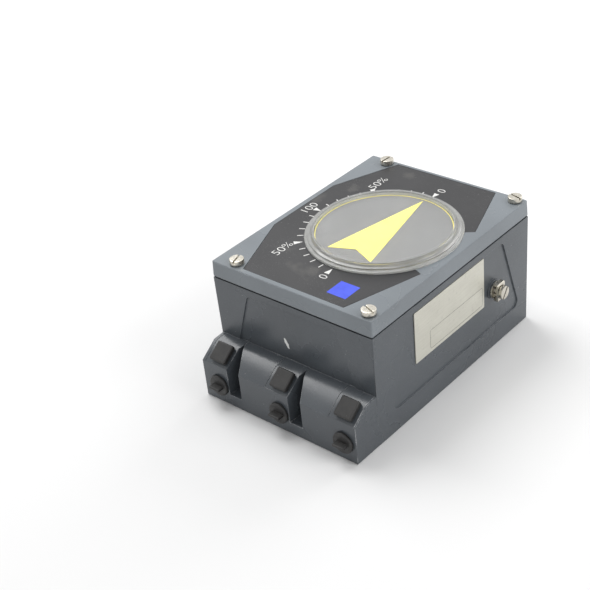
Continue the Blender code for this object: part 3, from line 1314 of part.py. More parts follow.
def pilot_valve():
    """The valve block on its gasket, the ported sleeve, the spool and the block's screws."""
    front, back = PILOT_Y - PILOT_DEPTH / 2, PILOT_Y + PILOT_DEPTH / 2
    gasket_low = FLOOR + FILM
    gasket_high = gasket_low + PILOT_GASKET
    low = gasket_high + FILM
    high = FLOOR + PILOT_HEIGHT
    low_corner, high_corner = (PILOT_LEFT, front, low), (PILOT_RIGHT, back, high)
    valve = block("pilot_block", low_corner, high_corner, DIE_CAST, bevel=PILOT_EDGE)
    axis_start = (PILOT_LEFT - HOLE_RUNOUT, PILOT_Y, LINK_HEIGHT)
    axis_end = (PILOT_RIGHT + HOLE_RUNOUT, PILOT_Y, LINK_HEIGHT)
    cut(valve, rod("sleeve_bore", SLEEVE_RADIUS + FILM, axis_start, axis_end, sides=ROUND))
    middle_x = (PILOT_LEFT + PILOT_RIGHT) / 2
    relief_low = (middle_x - PILOT_RELIEF, front - HOLE_RUNOUT, low - HOLE_RUNOUT)
    relief_high = (middle_x + PILOT_RELIEF, front + PILOT_RELIEF_DEPTH, high + HOLE_RUNOUT)
    cut(valve, block("block_relief", relief_low, relief_high))
    ends = {"left": PILOT_LEFT + PILOT_SCREW_IN, "right": PILOT_RIGHT - PILOT_SCREW_IN}
    screw_y = back - PILOT_SCREW_BACK
    hole = PILOT_SCREW + SCREW_CLEARANCE
    for name, x in ends.items():
        cut(valve, rod("block_screw_hole_" + name, hole, (x, screw_y, 0), (x, screw_y, BEYOND)))

    inset = PILOT_GASKET_INSET
    sheet_low = (PILOT_LEFT + inset, front + inset, gasket_low)
    sheet_high = (PILOT_RIGHT - inset, back - inset, gasket_high)
    sheet = block("pilot_gasket", sheet_low, sheet_high, RUBBER)
    tapped = PILOT_SCREW + SEAT
    for name, x in ends.items():
        cut(sheet, bpy.data.objects["block_screw_hole_" + name])
        inner = (x, screw_y, FLOOR - PILOT_SCREW_SEAT)
        outer = (x, screw_y, FLOOR + HOLE_RUNOUT)
        cut(bpy.data.objects["housing"], rod("tapped_block_" + name, tapped, inner, outer))
        cheese_head_screw(
            "pilot_screw_" + name,
            Matrix.Translation((x, screw_y, high + SEAT)),
            PILOT_SCREW_HEAD,
            PILOT_SCREW_HEAD_HEIGHT,
            PILOT_SCREW,
            high + SEAT - FLOOR + PILOT_SCREW_GRIP,
            40,
            NICKEL,
        )

    bore = SPOOL_RADIUS + RUNNING
    sleeve = [
        (bore, PILOT_LENGTH - SLEEVE_END),
        (SLEEVE_RADIUS, PILOT_LENGTH - SLEEVE_END),
        (SLEEVE_RADIUS, SLEEVE_END),
        (bore, SLEEVE_END),
    ]
    liner = turned("pilot_sleeve", sleeve, along_x(PILOT_LEFT, PILOT_Y, LINK_HEIGHT), BRASS, ring=True)
    for number, share in enumerate((0.2, 0.5, 0.8), 1):
        x = PILOT_LEFT + PILOT_LENGTH * share
        start, end = (x, PILOT_Y, 0), (x, PILOT_Y, LINK_HEIGHT)
        cut(liner, rod(f"sleeve_port_{number}", SLEEVE_PORT, start, end, sides=8))

    link_left = ARM_X - ARM_THICKNESS / 2 - SPOOL_PLAY
    link_right = ARM_X + ARM_THICKNESS / 2 + SPOOL_PLAY
    start, end = PILOT_LEFT + SPOOL_END, PILOT_RIGHT - SPOOL_END
    outer = link_right + SPOOL_DISC_THICKNESS
    inner = link_left - SPOOL_DISC_THICKNESS
    rim = SPOOL_NECK + SPOOL_RIM
    profile = [
        (0, outer),
        (rim - ROLLER_CHAMFER, outer),
        (rim, outer - ROLLER_CHAMFER),
        (rim, link_right),
        (SPOOL_LINK, link_right),
        (SPOOL_LINK, link_left),
        (rim, link_left),
        (rim, inner),
        (SPOOL_NECK, inner - SPOOL_RIM),
        (SPOOL_NECK, end),
        (SPOOL_RADIUS, end),
    ]
    for share in (0.76, 0.46):
        centre = PILOT_LEFT + PILOT_LENGTH * share
        profile += [
            (SPOOL_RADIUS, centre + SPOOL_LAND),
            (SPOOL_NECK, centre + SPOOL_LAND),
            (SPOOL_NECK, centre - SPOOL_LAND),
            (SPOOL_RADIUS, centre - SPOOL_LAND),
        ]
    profile += [(SPOOL_RADIUS, start), (0, start)]
    spool = turned("pilot_spool", profile, along_x(0, PILOT_Y, LINK_HEIGHT), STEEL, steps=16)
    hang_on("spool_axis", (0, PILOT_Y, LINK_HEIGHT), [spool])


def capsule_half(name, outward, nose):
    """One half of the diaphragm capsule, turned about the stem's axis from its flange face."""
    face = DIAPHRAGM_THICKNESS / 2 + FILM
    flange = face + CAPSULE_FLANGE_THICKNESS
    back = face + CAPSULE_BOWL_DEPTH
    floor = face + CAPSULE_CAVITY_DEPTH
    profile = [(0, back)]
    if nose:
        tip = back + CAPSULE_NOSE_LENGTH
        guide = STEM_RADIUS + RUNNING
        edge = PILOT_EDGE
        profile = [(guide, tip), (CAPSULE_NOSE - edge, tip), (CAPSULE_NOSE, tip - edge), (CAPSULE_NOSE, back)]
    profile += [
        (CAPSULE_BOWL - CAPSULE_ROUNDING, back),
        (CAPSULE_BOWL, back - CAPSULE_ROUNDING),
        (CAPSULE_BOWL, flange),
        (CAPSULE_FLANGE, flange),
        (CAPSULE_FLANGE, face),
        (CAPSULE_CAVITY, face),
        (CAPSULE_CAVITY, floor),
        (STEM_RADIUS + RUNNING if nose else 0, floor),
    ]
    across = BACKWARD if outward > 0 else -BACKWARD
    place = frame_at((CAPSULE_X, CAPSULE_Y, LINK_HEIGHT), across, UP)
    return turned(name, profile, place, DIE_CAST, steps=28, ring=nose)


def diaphragm_capsule():
    """The two-part capsule on its foot, the diaphragm in it, and the stem that meets the arm."""
    body = capsule_half("capsule_body", -1, False)
    lid = capsule_half("capsule_cover", 1, True)
    face = DIAPHRAGM_THICKNESS / 2 + FILM
    foot_right = CAPSULE_X - face
    foot_left = CAPSULE_X - face - CAPSULE_BOWL_DEPTH
    foot_low = (foot_left, CAPSULE_Y - CAPSULE_FOOT, FLOOR + SEAT)
    foot_high = (foot_right, CAPSULE_Y + CAPSULE_FOOT, LINK_HEIGHT - (CAPSULE_CAVITY + CAPSULE_BOWL) / 2)
    join(body, block("capsule_foot", foot_low, foot_high))

    reach = (CAPSULE_FLANGE + CAPSULE_BOWL) / 2 + 2 * FILM
    thick = CAPSULE_FLANGE_THICKNESS
    far_side = CAPSULE_X - face - thick + PILOT_EDGE
    near_side = CAPSULE_X + face + CAPSULE_BOWL_DEPTH + HOLE_RUNOUT
    for number in range(4):
        turn = math.radians(45 + 90 * number)
        y = CAPSULE_Y + reach * math.cos(turn)
        z = LINK_HEIGHT + reach * math.sin(turn)
        radius = CAPSULE_SCREW + CAPSULE_SCREW_GAP
        hole = rod(f"capsule_hole_{number + 1}", radius, (far_side, y, z), (near_side, y, z), sides=10)
        cut(body, hole)
        cut(lid, hole)
        cheese_head_screw(
            f"capsule_screw_{number + 1}",
            along_x(CAPSULE_X + face + thick + CAPSULE_SCREW_GAP, y, z),
            CAPSULE_SCREW_HEAD,
            CAPSULE_SCREW_HEAD_HEIGHT,
            CAPSULE_SCREW,
            2 * (face + thick) - PILOT_EDGE - ROLLER_CHAMFER,
            30 * number,
            NICKEL,
        )

    half = DIAPHRAGM_THICKNESS / 2
    outer = reach - CAPSULE_SCREW - 2 * SEAT
    inner = PISTON_PLATE + SEAT
    sheet = [(inner, half), (outer, half), (outer, -half), (inner, -half)]
    place = along_x(CAPSULE_X, CAPSULE_Y, LINK_HEIGHT)
    turned("diaphragm", sheet, place, RUBBER, ring=True)

    tip = ARM_X - ARM_THICKNESS / 2 - SEAT - CAPSULE_X
    plate = PISTON_PLATE_THICKNESS / 2
    profile = [
        (0, tip),
        (STEM_RADIUS * 0.5, tip),
        (STEM_RADIUS, tip - STEM_RADIUS * 0.4),
        (STEM_RADIUS, plate),
        (PISTON_PLATE, plate),
        (PISTON_PLATE, -plate),
        (0, -plate),
    ]
    stem = turned("diaphragm_stem", profile, place, STEEL, steps=SMALL)
    hang_on("stem_axis", (CAPSULE_X, CAPSULE_Y, LINK_HEIGHT), [stem])


def gauge_plugs():
    """The square-headed plugs in the gauge holes on the slope."""
    half = GAUGE_PLUG / 2
    low = GAUGE_PAD_RISE + SEAT
    for number, port in enumerate(PORTS, 1):
        place = slope_frame(port)
        high_corner = (half, half, low + GAUGE_PLUG_HEAD)
        name = f"gauge_plug_{number}"
        plug = block(name, (-half, -half, low), high_corner, BLACK_PLASTIC, bevel=GAUGE_PLUG_EDGE)
        plug.matrix_world = place
        start = place @ Vector((0, 0, -GAUGE_HOLE_DEPTH + SEAT))
        end = place @ Vector((0, 0, low + GAUGE_PLUG_HEAD / 3))
        join(plug, rod(f"gauge_stem_{number}", GAUGE_HOLE - SEAT, start, end))


def air_plugs():
    """The transit plugs in the air ports, each with a tab to pull it by."""
    for number, port in enumerate(PORTS, 1):
        place = frame_at((port, LEDGE_FRONT, AIR_PORT_HEIGHT), RIGHTWARD, UP)
        head_top = SEAT + AIR_PLUG_HEAD
        stem = AIR_PORT - SEAT
        stem_end = SEAT - AIR_PORT_DEPTH
        profile = [
            (0, head_top),
            (AIR_PLUG - AIR_PLUG_CHAMFER, head_top),
            (AIR_PLUG, head_top - AIR_PLUG_CHAMFER),
            (AIR_PLUG, SEAT),
            (stem, SEAT),
            (stem, stem_end + 2 * AIR_PLUG_TAPER),
            (stem - AIR_PLUG_TAPER, stem_end),
            (0, stem_end),
        ]
        plug = turned(f"air_plug_{number}", profile, place, BLACK_PLASTIC)
        across, thick = AIR_PLUG_TAB / 2, AIR_PLUG_TAB_THICKNESS / 2
        low_corner = (-across, -thick, AIR_PLUG_HEAD / 2)
        high_corner = (across, thick, AIR_PLUG_TAB_REACH)
        tab = block(f"plug_tab_{number}", low_corner, high_corner, bevel=ROLLER_CHAMFER)
        tab.matrix_world = place
        join(plug, tab)


def breather():
    """The breather plug on the left wall, with a ribbed head."""
    place = breather_frame()
    ribs = []
    for step in range(40):
        radius = BREATHER_RADIUS if step % 4 < 2 else BREATHER_RADIUS - BREATHER_KNURL
        turn = 2 * math.pi * step / 40
        ribs.append((radius * math.cos(turn), radius * math.sin(turn)))
    head = outline_solid("breather", ribs, SEAT, SEAT + BREATHER_HEAD, place, BLACK_PLASTIC)
    start = place @ Vector((0, 0, -WALL - BREATHER_INWARD))
    end = place @ Vector((0, 0, SEAT + BREATHER_HEAD / 3))
    join(head, rod("breather_stem", BREATHER_STEM, start, end))


def data_plate():
    """The plain plate that lies in the right wall's panel."""
    place = wall_frame((1, 0, 0))
    left, right = DATA_PLATE_MIDDLE - DATA_PLATE_LENGTH / 2, DATA_PLATE_MIDDLE + DATA_PLATE_LENGTH / 2
    top, bottom = -DATA_PLATE_TOP, -DATA_PLATE_TOP - DATA_PLATE_HEIGHT
    outline = rounded([(left, bottom), (right, bottom), (right, top), (left, top)], DATA_PLATE_CORNER, 2)
    low = -PANEL_DEPTH + FILM
    outline_solid("data_plate", outline, low, low + DATA_PLATE_THICKNESS, place, PLATE_SILVER)


def earth_terminal():
    """The washer, the bridge-shaped wire clamp and the screw on the right wall."""
    place = earth_frame()
    hole = EARTH_SCREW + SEAT
    washer_low = EARTH_BOSS_RISE + SEAT
    washer_top = washer_low + EARTH_WASHER_THICKNESS
    washer = [(hole, washer_top), (EARTH_WASHER, washer_top), (EARTH_WASHER, washer_low), (hole, washer_low)]
    turned("earth_washer", washer, place, NICKEL, ring=True)

    low = washer_top + SEAT
    top = low + EARTH_CLAMP_RISE
    corner = EARTH_CLAMP_CORNER
    half = EARTH_CLAMP_LENGTH / 2
    inner = half - EARTH_CLAMP_SHEET
    under = top - EARTH_CLAMP_SHEET
    section = [
        (-half, low),
        (-inner, low),
        (-inner, under),
        (inner, under),
        (inner, low),
        (half, low),
        (half, top - corner),
        (half - corner, top),
        (-half + corner, top),
        (-half, top - corner),
    ]
    sideways = place @ frame_at((0, 0, 0), (0, 1, 0), (0, 0, 1))
    width = EARTH_CLAMP_WIDTH / 2
    clamp = outline_solid("earth_clamp", section, -width, width, sideways, NICKEL)
    cut(clamp, rod("clamp_hole", hole, place.translation, place @ Vector((0, 0, top + HOLE_RUNOUT))))

    seat = place @ Matrix.Translation((0, 0, top + EARTH_SCREW_CLEARANCE))
    length = top + EARTH_SCREW_CLEARANCE + WALL - EARTH_CLAMP_SHEET
    cheese_head_screw(
        "earth_screw", seat, EARTH_SCREW_HEAD, EARTH_SCREW_HEAD_HEIGHT, EARTH_SCREW, length, 25, NICKEL
    )


def settle():
    """Every piece takes its finished shape, shaded smooth with its real edges kept sharp."""
    bpy.context.view_layer.update()
    graph = bpy.context.evaluated_depsgraph_get()
    solids = [thing for thing in PARTS.objects if thing.type == "MESH"]
    meshes = [bpy.data.meshes.new_from_object(thing.evaluated_get(graph)) for thing in solids]
    for thing, mesh in zip(solids, meshes):
        thing.modifiers.clear()
        mesh.name = thing.name
        mesh.shade_smooth()
        mesh.set_sharp_from_angle(angle=math.radians(30))
        thing.data = mesh


housing()
cover()
cover_gasket()
cover_screws()
scale_plate()
window()
window_fixing()
hang_on("spindle_axis", (0, 0, 0), [*spindle(), *cam(), *indicator()])
follower()
zero_adjuster()
feedback_spring()
balance_arm()
pilot_valve()
diaphragm_capsule()
gauge_plugs()
air_plugs()
breather()
data_plate()
earth_terminal()
settle()
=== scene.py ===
import json
import math

import bpy
from mathutils import Matrix, Vector


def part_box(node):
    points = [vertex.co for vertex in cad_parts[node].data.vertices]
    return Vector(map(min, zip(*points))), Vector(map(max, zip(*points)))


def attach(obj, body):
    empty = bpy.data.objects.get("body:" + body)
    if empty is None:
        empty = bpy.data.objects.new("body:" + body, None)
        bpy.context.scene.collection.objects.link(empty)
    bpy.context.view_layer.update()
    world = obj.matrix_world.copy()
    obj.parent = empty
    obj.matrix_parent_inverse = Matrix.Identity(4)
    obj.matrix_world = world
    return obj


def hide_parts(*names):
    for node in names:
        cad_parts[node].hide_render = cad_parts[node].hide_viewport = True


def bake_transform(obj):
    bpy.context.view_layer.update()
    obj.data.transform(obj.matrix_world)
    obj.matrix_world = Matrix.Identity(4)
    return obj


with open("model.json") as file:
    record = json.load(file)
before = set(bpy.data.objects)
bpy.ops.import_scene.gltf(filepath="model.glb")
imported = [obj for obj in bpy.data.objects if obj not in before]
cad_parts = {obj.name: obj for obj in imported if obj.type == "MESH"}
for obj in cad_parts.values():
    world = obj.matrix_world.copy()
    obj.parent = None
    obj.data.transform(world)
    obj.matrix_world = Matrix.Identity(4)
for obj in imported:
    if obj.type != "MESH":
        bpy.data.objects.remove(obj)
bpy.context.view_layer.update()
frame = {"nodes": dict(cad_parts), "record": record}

# Camera
# A long portrait lens looks down on the front right corner of the positioner, so that
# the dial, the front wall with its ledge and the right wall with its plate all show.
camera_data = bpy.data.cameras.new("camera")
camera_data.lens = 78.26
camera_data.sensor_width = 36
camera_data.clip_start = 0.01
camera = bpy.data.objects.new("camera", camera_data)
camera.matrix_world = Matrix(
    (
        (0.7550, -0.2945, 0.5858, 0.42053),
        (0.6487, 0.4656, -0.6020, -0.51420),
        (-0.0954, 0.8346, 0.5426, 0.47609),
        (0, 0, 0, 1),
    )
)
bpy.context.scene.collection.objects.link(camera)
bpy.context.scene.camera = camera

# Table and studio light
# The unit stands on a pale matt table that fades into white, under a broad soft lamp
# from the left, a weaker one from the right and even light from all round.
def put_node(owner, kind, settings=None, **inputs):
    """Adds a shader node with its own settings, fed with numbers, colours or other outputs."""
    tree = owner.node_tree
    node = tree.nodes.new("ShaderNode" + kind)
    for option, value in (settings or {}).items():
        setattr(node, option, value)
    for name, value in inputs.items():
        numbered = name[0] == "i" and name[1:].isdigit()
        socket = node.inputs[int(name[1:]) if numbered else name.replace("_", " ")]
        if isinstance(value, bpy.types.NodeSocket):
            tree.links.new(value, socket)
        else:
            socket.default_value = value
    return node


def only(*pieces):
    """Leaves object mode's selection on these pieces alone, the last of them active."""
    if bpy.context.mode != "OBJECT":
        bpy.ops.object.mode_set(mode="OBJECT")
    bpy.ops.object.select_all(action="DESELECT")
    for piece in pieces:
        piece.select_set(True)
        bpy.context.view_layer.objects.active = piece


only()
bpy.ops.mesh.primitive_plane_add(size=8, location=(0, 0, -0.0002))
table = bpy.context.object
table.name = "table"
table_top = bpy.data.materials.new("table_top")
table_top.use_nodes = True
shader = table_top.node_tree.nodes["Principled BSDF"]
shader.inputs["Base Color"].default_value = (0.86, 0.86, 0.86, 1)
shader.inputs["Roughness"].default_value = 0.9
shader.inputs["Specular IOR Level"].default_value = 0.1
table.data.materials.append(table_top)

world = bpy.data.worlds.new("studio")
world.use_nodes = True
bpy.context.scene.world = world
sky = world.node_tree.nodes["Background"]
sky.inputs["Color"].default_value = (1, 1, 1, 1)

# The sky looks white to the camera, in reflections and through the window, and lights less.
even_light, white = 0.50, 1.0
path = put_node(world, "LightPath").outputs
seen = 0.0
for ray in ("Is Camera Ray", "Is Glossy Ray", "Is Transmission Ray"):
    seen = put_node(world, "Math", {"operation": "MAXIMUM"}, i0=path[ray], i1=seen).outputs[0]
level = put_node(world, "MapRange", Value=seen, To_Min=even_light, To_Max=white)
world.node_tree.links.new(level.outputs[0], sky.inputs["Strength"])


def lamp(name, place, size, energy):
    """A soft square lamp that faces the middle of the unit."""
    light = bpy.data.lights.new(name, "AREA")
    light.size = size
    light.energy = energy
    thing = bpy.data.objects.new(name, light)
    thing.location = place
    aim = Vector((0, 0, 0.05)) - Vector(place)
    thing.rotation_euler = aim.to_track_quat("-Z", "Y").to_euler()
    bpy.context.scene.collection.objects.link(thing)


lamp("broad_lamp", (-0.75, 0.15, 1.25), size=0.9, energy=13)
lamp("right_lamp", (1.2, 0.3, 0.9), size=0.8, energy=7)
lamp("back_lamp", (0.1, 1.4, 1.0), size=0.9, energy=7)

bpy.context.scene.view_settings.view_transform = "Standard"

# Housing
# A pressure die casting in aluminium, with drafted walls, shallow panels, a sloped ledge
# for the gauges and screw bosses in its corners. It is stoved in blue-grey enamel.
def coat(name, colour, roughness, metallic=0.0):
    """A finish to build on, with its shader and the place on the object to read patterns by."""
    material = bpy.data.materials.new(name)
    material.use_nodes = True
    shader = material.node_tree.nodes["Principled BSDF"]
    shader.inputs["Base Color"].default_value = (*colour, 1)
    shader.inputs["Roughness"].default_value = roughness
    shader.inputs["Metallic"].default_value = metallic
    where = put_node(material, "TexCoord").outputs["Object"]
    return material, shader, where


def ramp(material, number, low, high, start=0.0, end=1.0):
    """Spreads the numbers between two limits over another range, and holds its ends."""
    limits = {"From_Min": low, "From_Max": high, "To_Min": start, "To_Max": end}
    return put_node(material, "MapRange", Value=number, **limits).outputs[0]


def noise(material, where, scale, detail, low=0.0, high=1.0):
    """A noise pattern, spread between two values."""
    pattern = put_node(material, "TexNoise", Vector=where, Scale=scale, Detail=detail)
    return ramp(material, pattern.outputs["Fac"], 0.3, 0.7, low, high)


def work(material, operation, first, second=0.5):
    """One sum on two numbers."""
    node = put_node(material, "Math", {"operation": operation}, i0=first, i1=second)
    return node.outputs[0]


def product(material, first, *others):
    """Numbers multiplied together."""
    for other in others:
        first = work(material, "MULTIPLY", first, other)
    return first


def held(material, number):
    """A number kept between 0 and 1."""
    return put_node(material, "Clamp", Value=number).outputs[0]


def blend_colour(material, share, first, second):
    """Two colours mixed by a share from 0 to 1."""
    node = put_node(material, "MixRGB", Fac=share)
    for socket, value in zip((node.inputs[1], node.inputs[2]), (first, second)):
        if isinstance(value, bpy.types.NodeSocket):
            material.node_tree.links.new(value, socket)
        else:
            socket.default_value = (*value, 1)
    return node.outputs[0]


def feed(material, shader, **inputs):
    """Joins outputs to the shader's sockets."""
    for name, value in inputs.items():
        material.node_tree.links.new(value, shader.inputs[name.replace("_", " ")])


def relief(material, shader, height, depth, strength):
    """Bumps the surface by a height from 0 to 1, this many metres deep."""
    bump = put_node(material, "Bump", Height=height, Strength=strength, Distance=depth)
    feed(material, shader, Normal=bump.outputs[0])


def edge_patches(material, where, radius, patch_scale, amount):
    """Near a corner, broken up into patches: where edges rub, and on the enamel where a highlight
    is painted too.
    """
    soft = put_node(material, "Bevel", {"samples": 6}, Radius=radius).outputs[0]
    flat = put_node(material, "NewGeometry").outputs["Normal"]
    match = put_node(material, "VectorMath", {"operation": "DOT_PRODUCT"}, i0=soft, i1=flat)
    corner = ramp(material, match.outputs["Value"], 0.985, 0.86)
    patches = noise(material, where, patch_scale, 3, -0.5, 1.2)
    return product(material, corner, patches, amount)


def inside(material, number, low, high, soft):
    """1 where a number lies between two limits, with soft ends."""
    rise = ramp(material, number, low - soft, low + soft)
    fall = ramp(material, number, high - soft, high + soft, 1.0, 0.0)
    return product(material, rise, fall)


def dusty(material, where, shade, scale, sizes, strength, clouds, colour):
    """Adds round specks of dust with soft edges, gathered in clouds."""
    specks = put_node(material, "TexVoronoi", Vector=where, Scale=scale).outputs["Distance"]
    speck = ramp(material, specks, *sizes, 0.0, strength)
    cloud, sparse = clouds
    dust = held(material, product(material, speck, noise(material, where, cloud, 2, sparse, 1.0)))
    return blend_colour(material, dust, shade, colour)


def enamel(name, colour):
    """Stoved enamel: an even colour with orange peel, dust, dull patches and edges lightened by
    rubbing and by a painted highlight.
    """
    material, shader, where = coat(name, colour, 0.30)
    split = put_node(material, "SeparateXYZ", Vector=where).outputs
    dark, light = (tuple(min(1, part * tone) for part in colour) for tone in (0.90, 1.12))
    shade = blend_colour(material, noise(material, where, 16, 3), dark, light)
    grain = noise(material, where, 1500, 1, 0, 0.04)
    shade = blend_colour(material, grain, shade, (0.45, 0.46, 0.47))
    # The edges are lighter as rubbed paint and as a painted highlight, most on the ledge's front.
    ledge_front = inside(material, split["Y"], -0.102, -0.0815, 0.001)
    handled_and_lit = work(material, "ADD", 1.0, product(material, ledge_front, 5.0))
    edge_lightening = edge_patches(material, where, 0.0008, 170, 0.22)
    edge_lightening = held(material, product(material, edge_lightening, handled_and_lit))
    shade = blend_colour(material, edge_lightening, shade, (0.58, 0.59, 0.60))
    dust_colour = (0.62, 0.62, 0.60)
    shade = dusty(material, where, shade, 330, (0.085, 0.06), 0.55, (60, -0.9), dust_colour)
    dull = noise(material, where, 24, 4, 0.20, 0.33)
    dull = work(material, "ADD", dull, product(material, edge_lightening, 0.15))
    feed(material, shader, Base_Color=shade, Roughness=dull)
    relief(material, shader, noise(material, where, 620, 2), 0.000016, 0.5)
    return material, shader, shade, where, split


def soft_copy(node, name, width, corner=35, crisp=None):
    """A piece's own solid, its faces merged flat and its edges rounded as in a mould."""
    piece = frame["nodes"][node].copy()
    piece.data = piece.data.copy()
    piece.name = name
    for key in list(piece.keys()):
        del piece[key]
    piece.parent = None
    bpy.context.scene.collection.objects.link(piece)
    only(piece)
    bpy.ops.object.mode_set(mode="EDIT")
    bpy.ops.mesh.customdata_custom_splitnormals_clear()
    bpy.ops.mesh.select_all(action="SELECT")
    bpy.ops.mesh.remove_doubles(threshold=0.000002)
    bpy.ops.mesh.dissolve_limited(angle_limit=math.radians(1))
    if crisp:
        bpy.ops.mesh.quads_convert_to_tris(ngon_method="BEAUTY")
    bpy.ops.mesh.select_all(action="DESELECT")
    bpy.ops.mesh.select_mode(type="EDGE")
    bpy.ops.mesh.edges_select_sharp(sharpness=math.radians(corner))
    bpy.ops.object.mode_set(mode="OBJECT")
    points = piece.data.vertices
    for line in piece.data.edges:
        if line.select and crisp and all(crisp(points[end].co) for end in line.vertices):
            line.select = False
    bpy.ops.object.mode_set(mode="EDIT")
    bpy.ops.transform.edge_bevelweight(value=1)
    bpy.ops.mesh.select_mode(type="VERT")
    bpy.ops.object.mode_set(mode="OBJECT")
    edge = piece.modifiers.new("edge", "BEVEL")
    edge.width = width
    edge.segments = 2
    edge.limit_method = "WEIGHT"
    edge.use_clamp_overlap = False
    bpy.ops.object.modifier_apply(modifier="edge")
    return piece


# The body that each node rides on, as the record gives it.
homes = {}
for body, nodes in frame["record"]["behaviour"]["bodies"].items():
    for node in nodes:
        homes[node] = body


def fit(piece, material, *stands_for, like=None, place=None, smooth=35, rides=True):
    """The last steps for every piece: its place, its shading, its finish and what it rides on."""
    like = like or stands_for[0]
    only(piece)
    if place is not None:
        piece.matrix_world = place
        bpy.ops.object.transform_apply(location=True, rotation=True, scale=True)
    bpy.ops.object.shade_smooth_by_angle(angle=math.radians(smooth))
    even = piece.modifiers.new("even", "WEIGHTED_NORMAL")
    even.keep_sharp = True
    bpy.ops.object.modifier_apply(modifier="even")
    piece.data.materials.clear()
    piece.data.materials.append(material)
    if rides:
        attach(piece, homes[like])
    if stands_for:
        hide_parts(*stands_for)
    return piece


# The body has the cover's paint made darker, as painted shade on the housing's walls.
shaded_body_enamel, shader, shade, where, split = enamel("shaded_body_enamel", (0.070, 0.080, 0.091))

# A chip in the front wall's paint: a sliver that leans, tapers both ways and shows primer.
chip_x, chip_height, chip_half = -0.0139, 0.0463, 0.0013
rise = work(shaded_body_enamel, "SUBTRACT", split["Z"], chip_height)
lean = work(shaded_body_enamel, "ADD", split["X"], product(shaded_body_enamel, rise, 0.38))
ragged = product(shaded_body_enamel, noise(shaded_body_enamel, where, 600, 2, -0.5, 0.5), 0.0005)
taper = product(shaded_body_enamel, work(shaded_body_enamel, "ABSOLUTE", rise), 0.22)
off_line = work(shaded_body_enamel, "SUBTRACT", work(shaded_body_enamel, "ADD", lean, ragged), chip_x)
off_line = work(shaded_body_enamel, "ADD", work(shaded_body_enamel, "ABSOLUTE", off_line), taper)
chip = product(
    shaded_body_enamel,
    inside(shaded_body_enamel, off_line, -1.0, chip_half, 0.00012),
    inside(shaded_body_enamel, split["Z"], 0.0430, 0.0494, 0.0003),
    inside(shaded_body_enamel, split["Y"], -0.0815, -0.0760, 0.0002),
)
shade = blend_colour(shaded_body_enamel, chip, shade, (0.83, 0.84, 0.82))
feed(shaded_body_enamel, shader, Base_Color=shade)
fit(soft_copy("housing", "body_casting", 0.00035), shaded_body_enamel, "housing")

# Data plate
# A thin satin aluminium plate stuck in the right wall's panel, bare apart from a ruled box
# that is printed in grey. Handling has left it slightly stained.
plate_metal, shader, where = coat("data_plate_metal", (0.60, 0.59, 0.52), 0.42, 0.35)
grain = put_node(plate_metal, "Mapping", Vector=where, Scale=(1, 0.05, 1)).outputs[0]
brushed = noise(plate_metal, grain, 1500, 3)
shade = blend_colour(plate_metal, brushed, (0.60, 0.585, 0.51), (0.66, 0.65, 0.575))
smudges = noise(plate_metal, where, 55, 4, 0, 0.28)
shade = blend_colour(plate_metal, smudges, shade, (0.47, 0.46, 0.40))
stains = noise(plate_metal, where, 420, 3, -0.5, 0.18)
shade = blend_colour(plate_metal, stains, shade, (0.30, 0.29, 0.26))
dull = noise(plate_metal, grain, 900, 3, 0.34, 0.46)
feed(plate_metal, shader, Base_Color=shade, Roughness=dull)
relief(plate_metal, shader, noise(plate_metal, grain, 1400, 2), 0.000006, 0.5)
fit(soft_copy("data_plate", "wall_plate", 0.00012), plate_metal, "data_plate")


def mottled(name, colour, roughness, tones, clouds, gloss, smears, grain=None):
    """A plain finish in two near tones, patchy in colour and in gloss."""
    material, shader, where = coat(name, colour, roughness)
    shade = blend_colour(material, noise(material, where, clouds, 3), *tones)
    dull = noise(material, where, smears, 2, *gloss)
    feed(material, shader, Base_Color=shade, Roughness=dull)
    if grain:
        scale, depth, strength = grain
        relief(material, shader, noise(material, where, scale, 2), depth, strength)
    return material


black_ink = mottled(
    "black_ink",
    (0.12, 0.115, 0.10),
    0.5,
    tones=((0.09, 0.085, 0.075), (0.20, 0.19, 0.17)),
    clouds=400,
    gloss=(0.42, 0.58),
    smears=300,
)
line_width, ink_depth = 0.00025, 0.00002
only()
bpy.ops.mesh.primitive_plane_add(size=1, location=(0, 0, 0))
ruling = bpy.context.object
ruling.name = "plate_ruling"
ruling.dimensions = (0.0538, 0.0130, 0)
only(ruling)
bpy.ops.object.transform_apply(location=False, rotation=False, scale=True)
bpy.ops.object.mode_set(mode="EDIT")
bpy.ops.mesh.select_all(action="SELECT")
bpy.ops.mesh.bevel(offset=0.0012, segments=4, affect="VERTICES")
bpy.ops.mesh.inset(thickness=line_width)
bpy.ops.mesh.delete(type="FACE")
bpy.ops.mesh.select_all(action="SELECT")
bpy.ops.mesh.extrude_region_move(TRANSFORM_OT_translate={"value": (0, 0, ink_depth)})
bpy.ops.mesh.select_all(action="SELECT")
bpy.ops.mesh.normals_make_consistent(inside=False)
bpy.ops.object.mode_set(mode="OBJECT")
wall_lean = 0.009
wall_out = Vector((1, 0, -wall_lean)).normalized()
wall_up = (Vector((0, 0, 1)) - wall_out * wall_out.z).normalized()
facing = Matrix((Vector((0, 1, 0)), wall_up, wall_out)).transposed().to_4x4()
plate_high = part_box("data_plate")[1]
middle_height = 0.0435
face_x = plate_high.x - (plate_high.z - middle_height) * wall_lean + ink_depth
on_plate = Matrix.Translation((face_x, -0.0009, middle_height)) @ facing
fit(ruling, black_ink, like="data_plate", place=on_plate, smooth=20)

# Port plugs and breather
# Black polyethylene plugs: square heads in the gauge ports on the slope, round ones with a
# pull tab in the air ports under it, and a ribbed breather in the left wall.
def rubbed(material, where, shade, radius, patch_scale, amount, bare):
    """A colour that is rubbed to another along the edges."""
    edge_lightening = held(material, edge_patches(material, where, radius, patch_scale, amount))
    return blend_colour(material, edge_lightening, shade, bare)


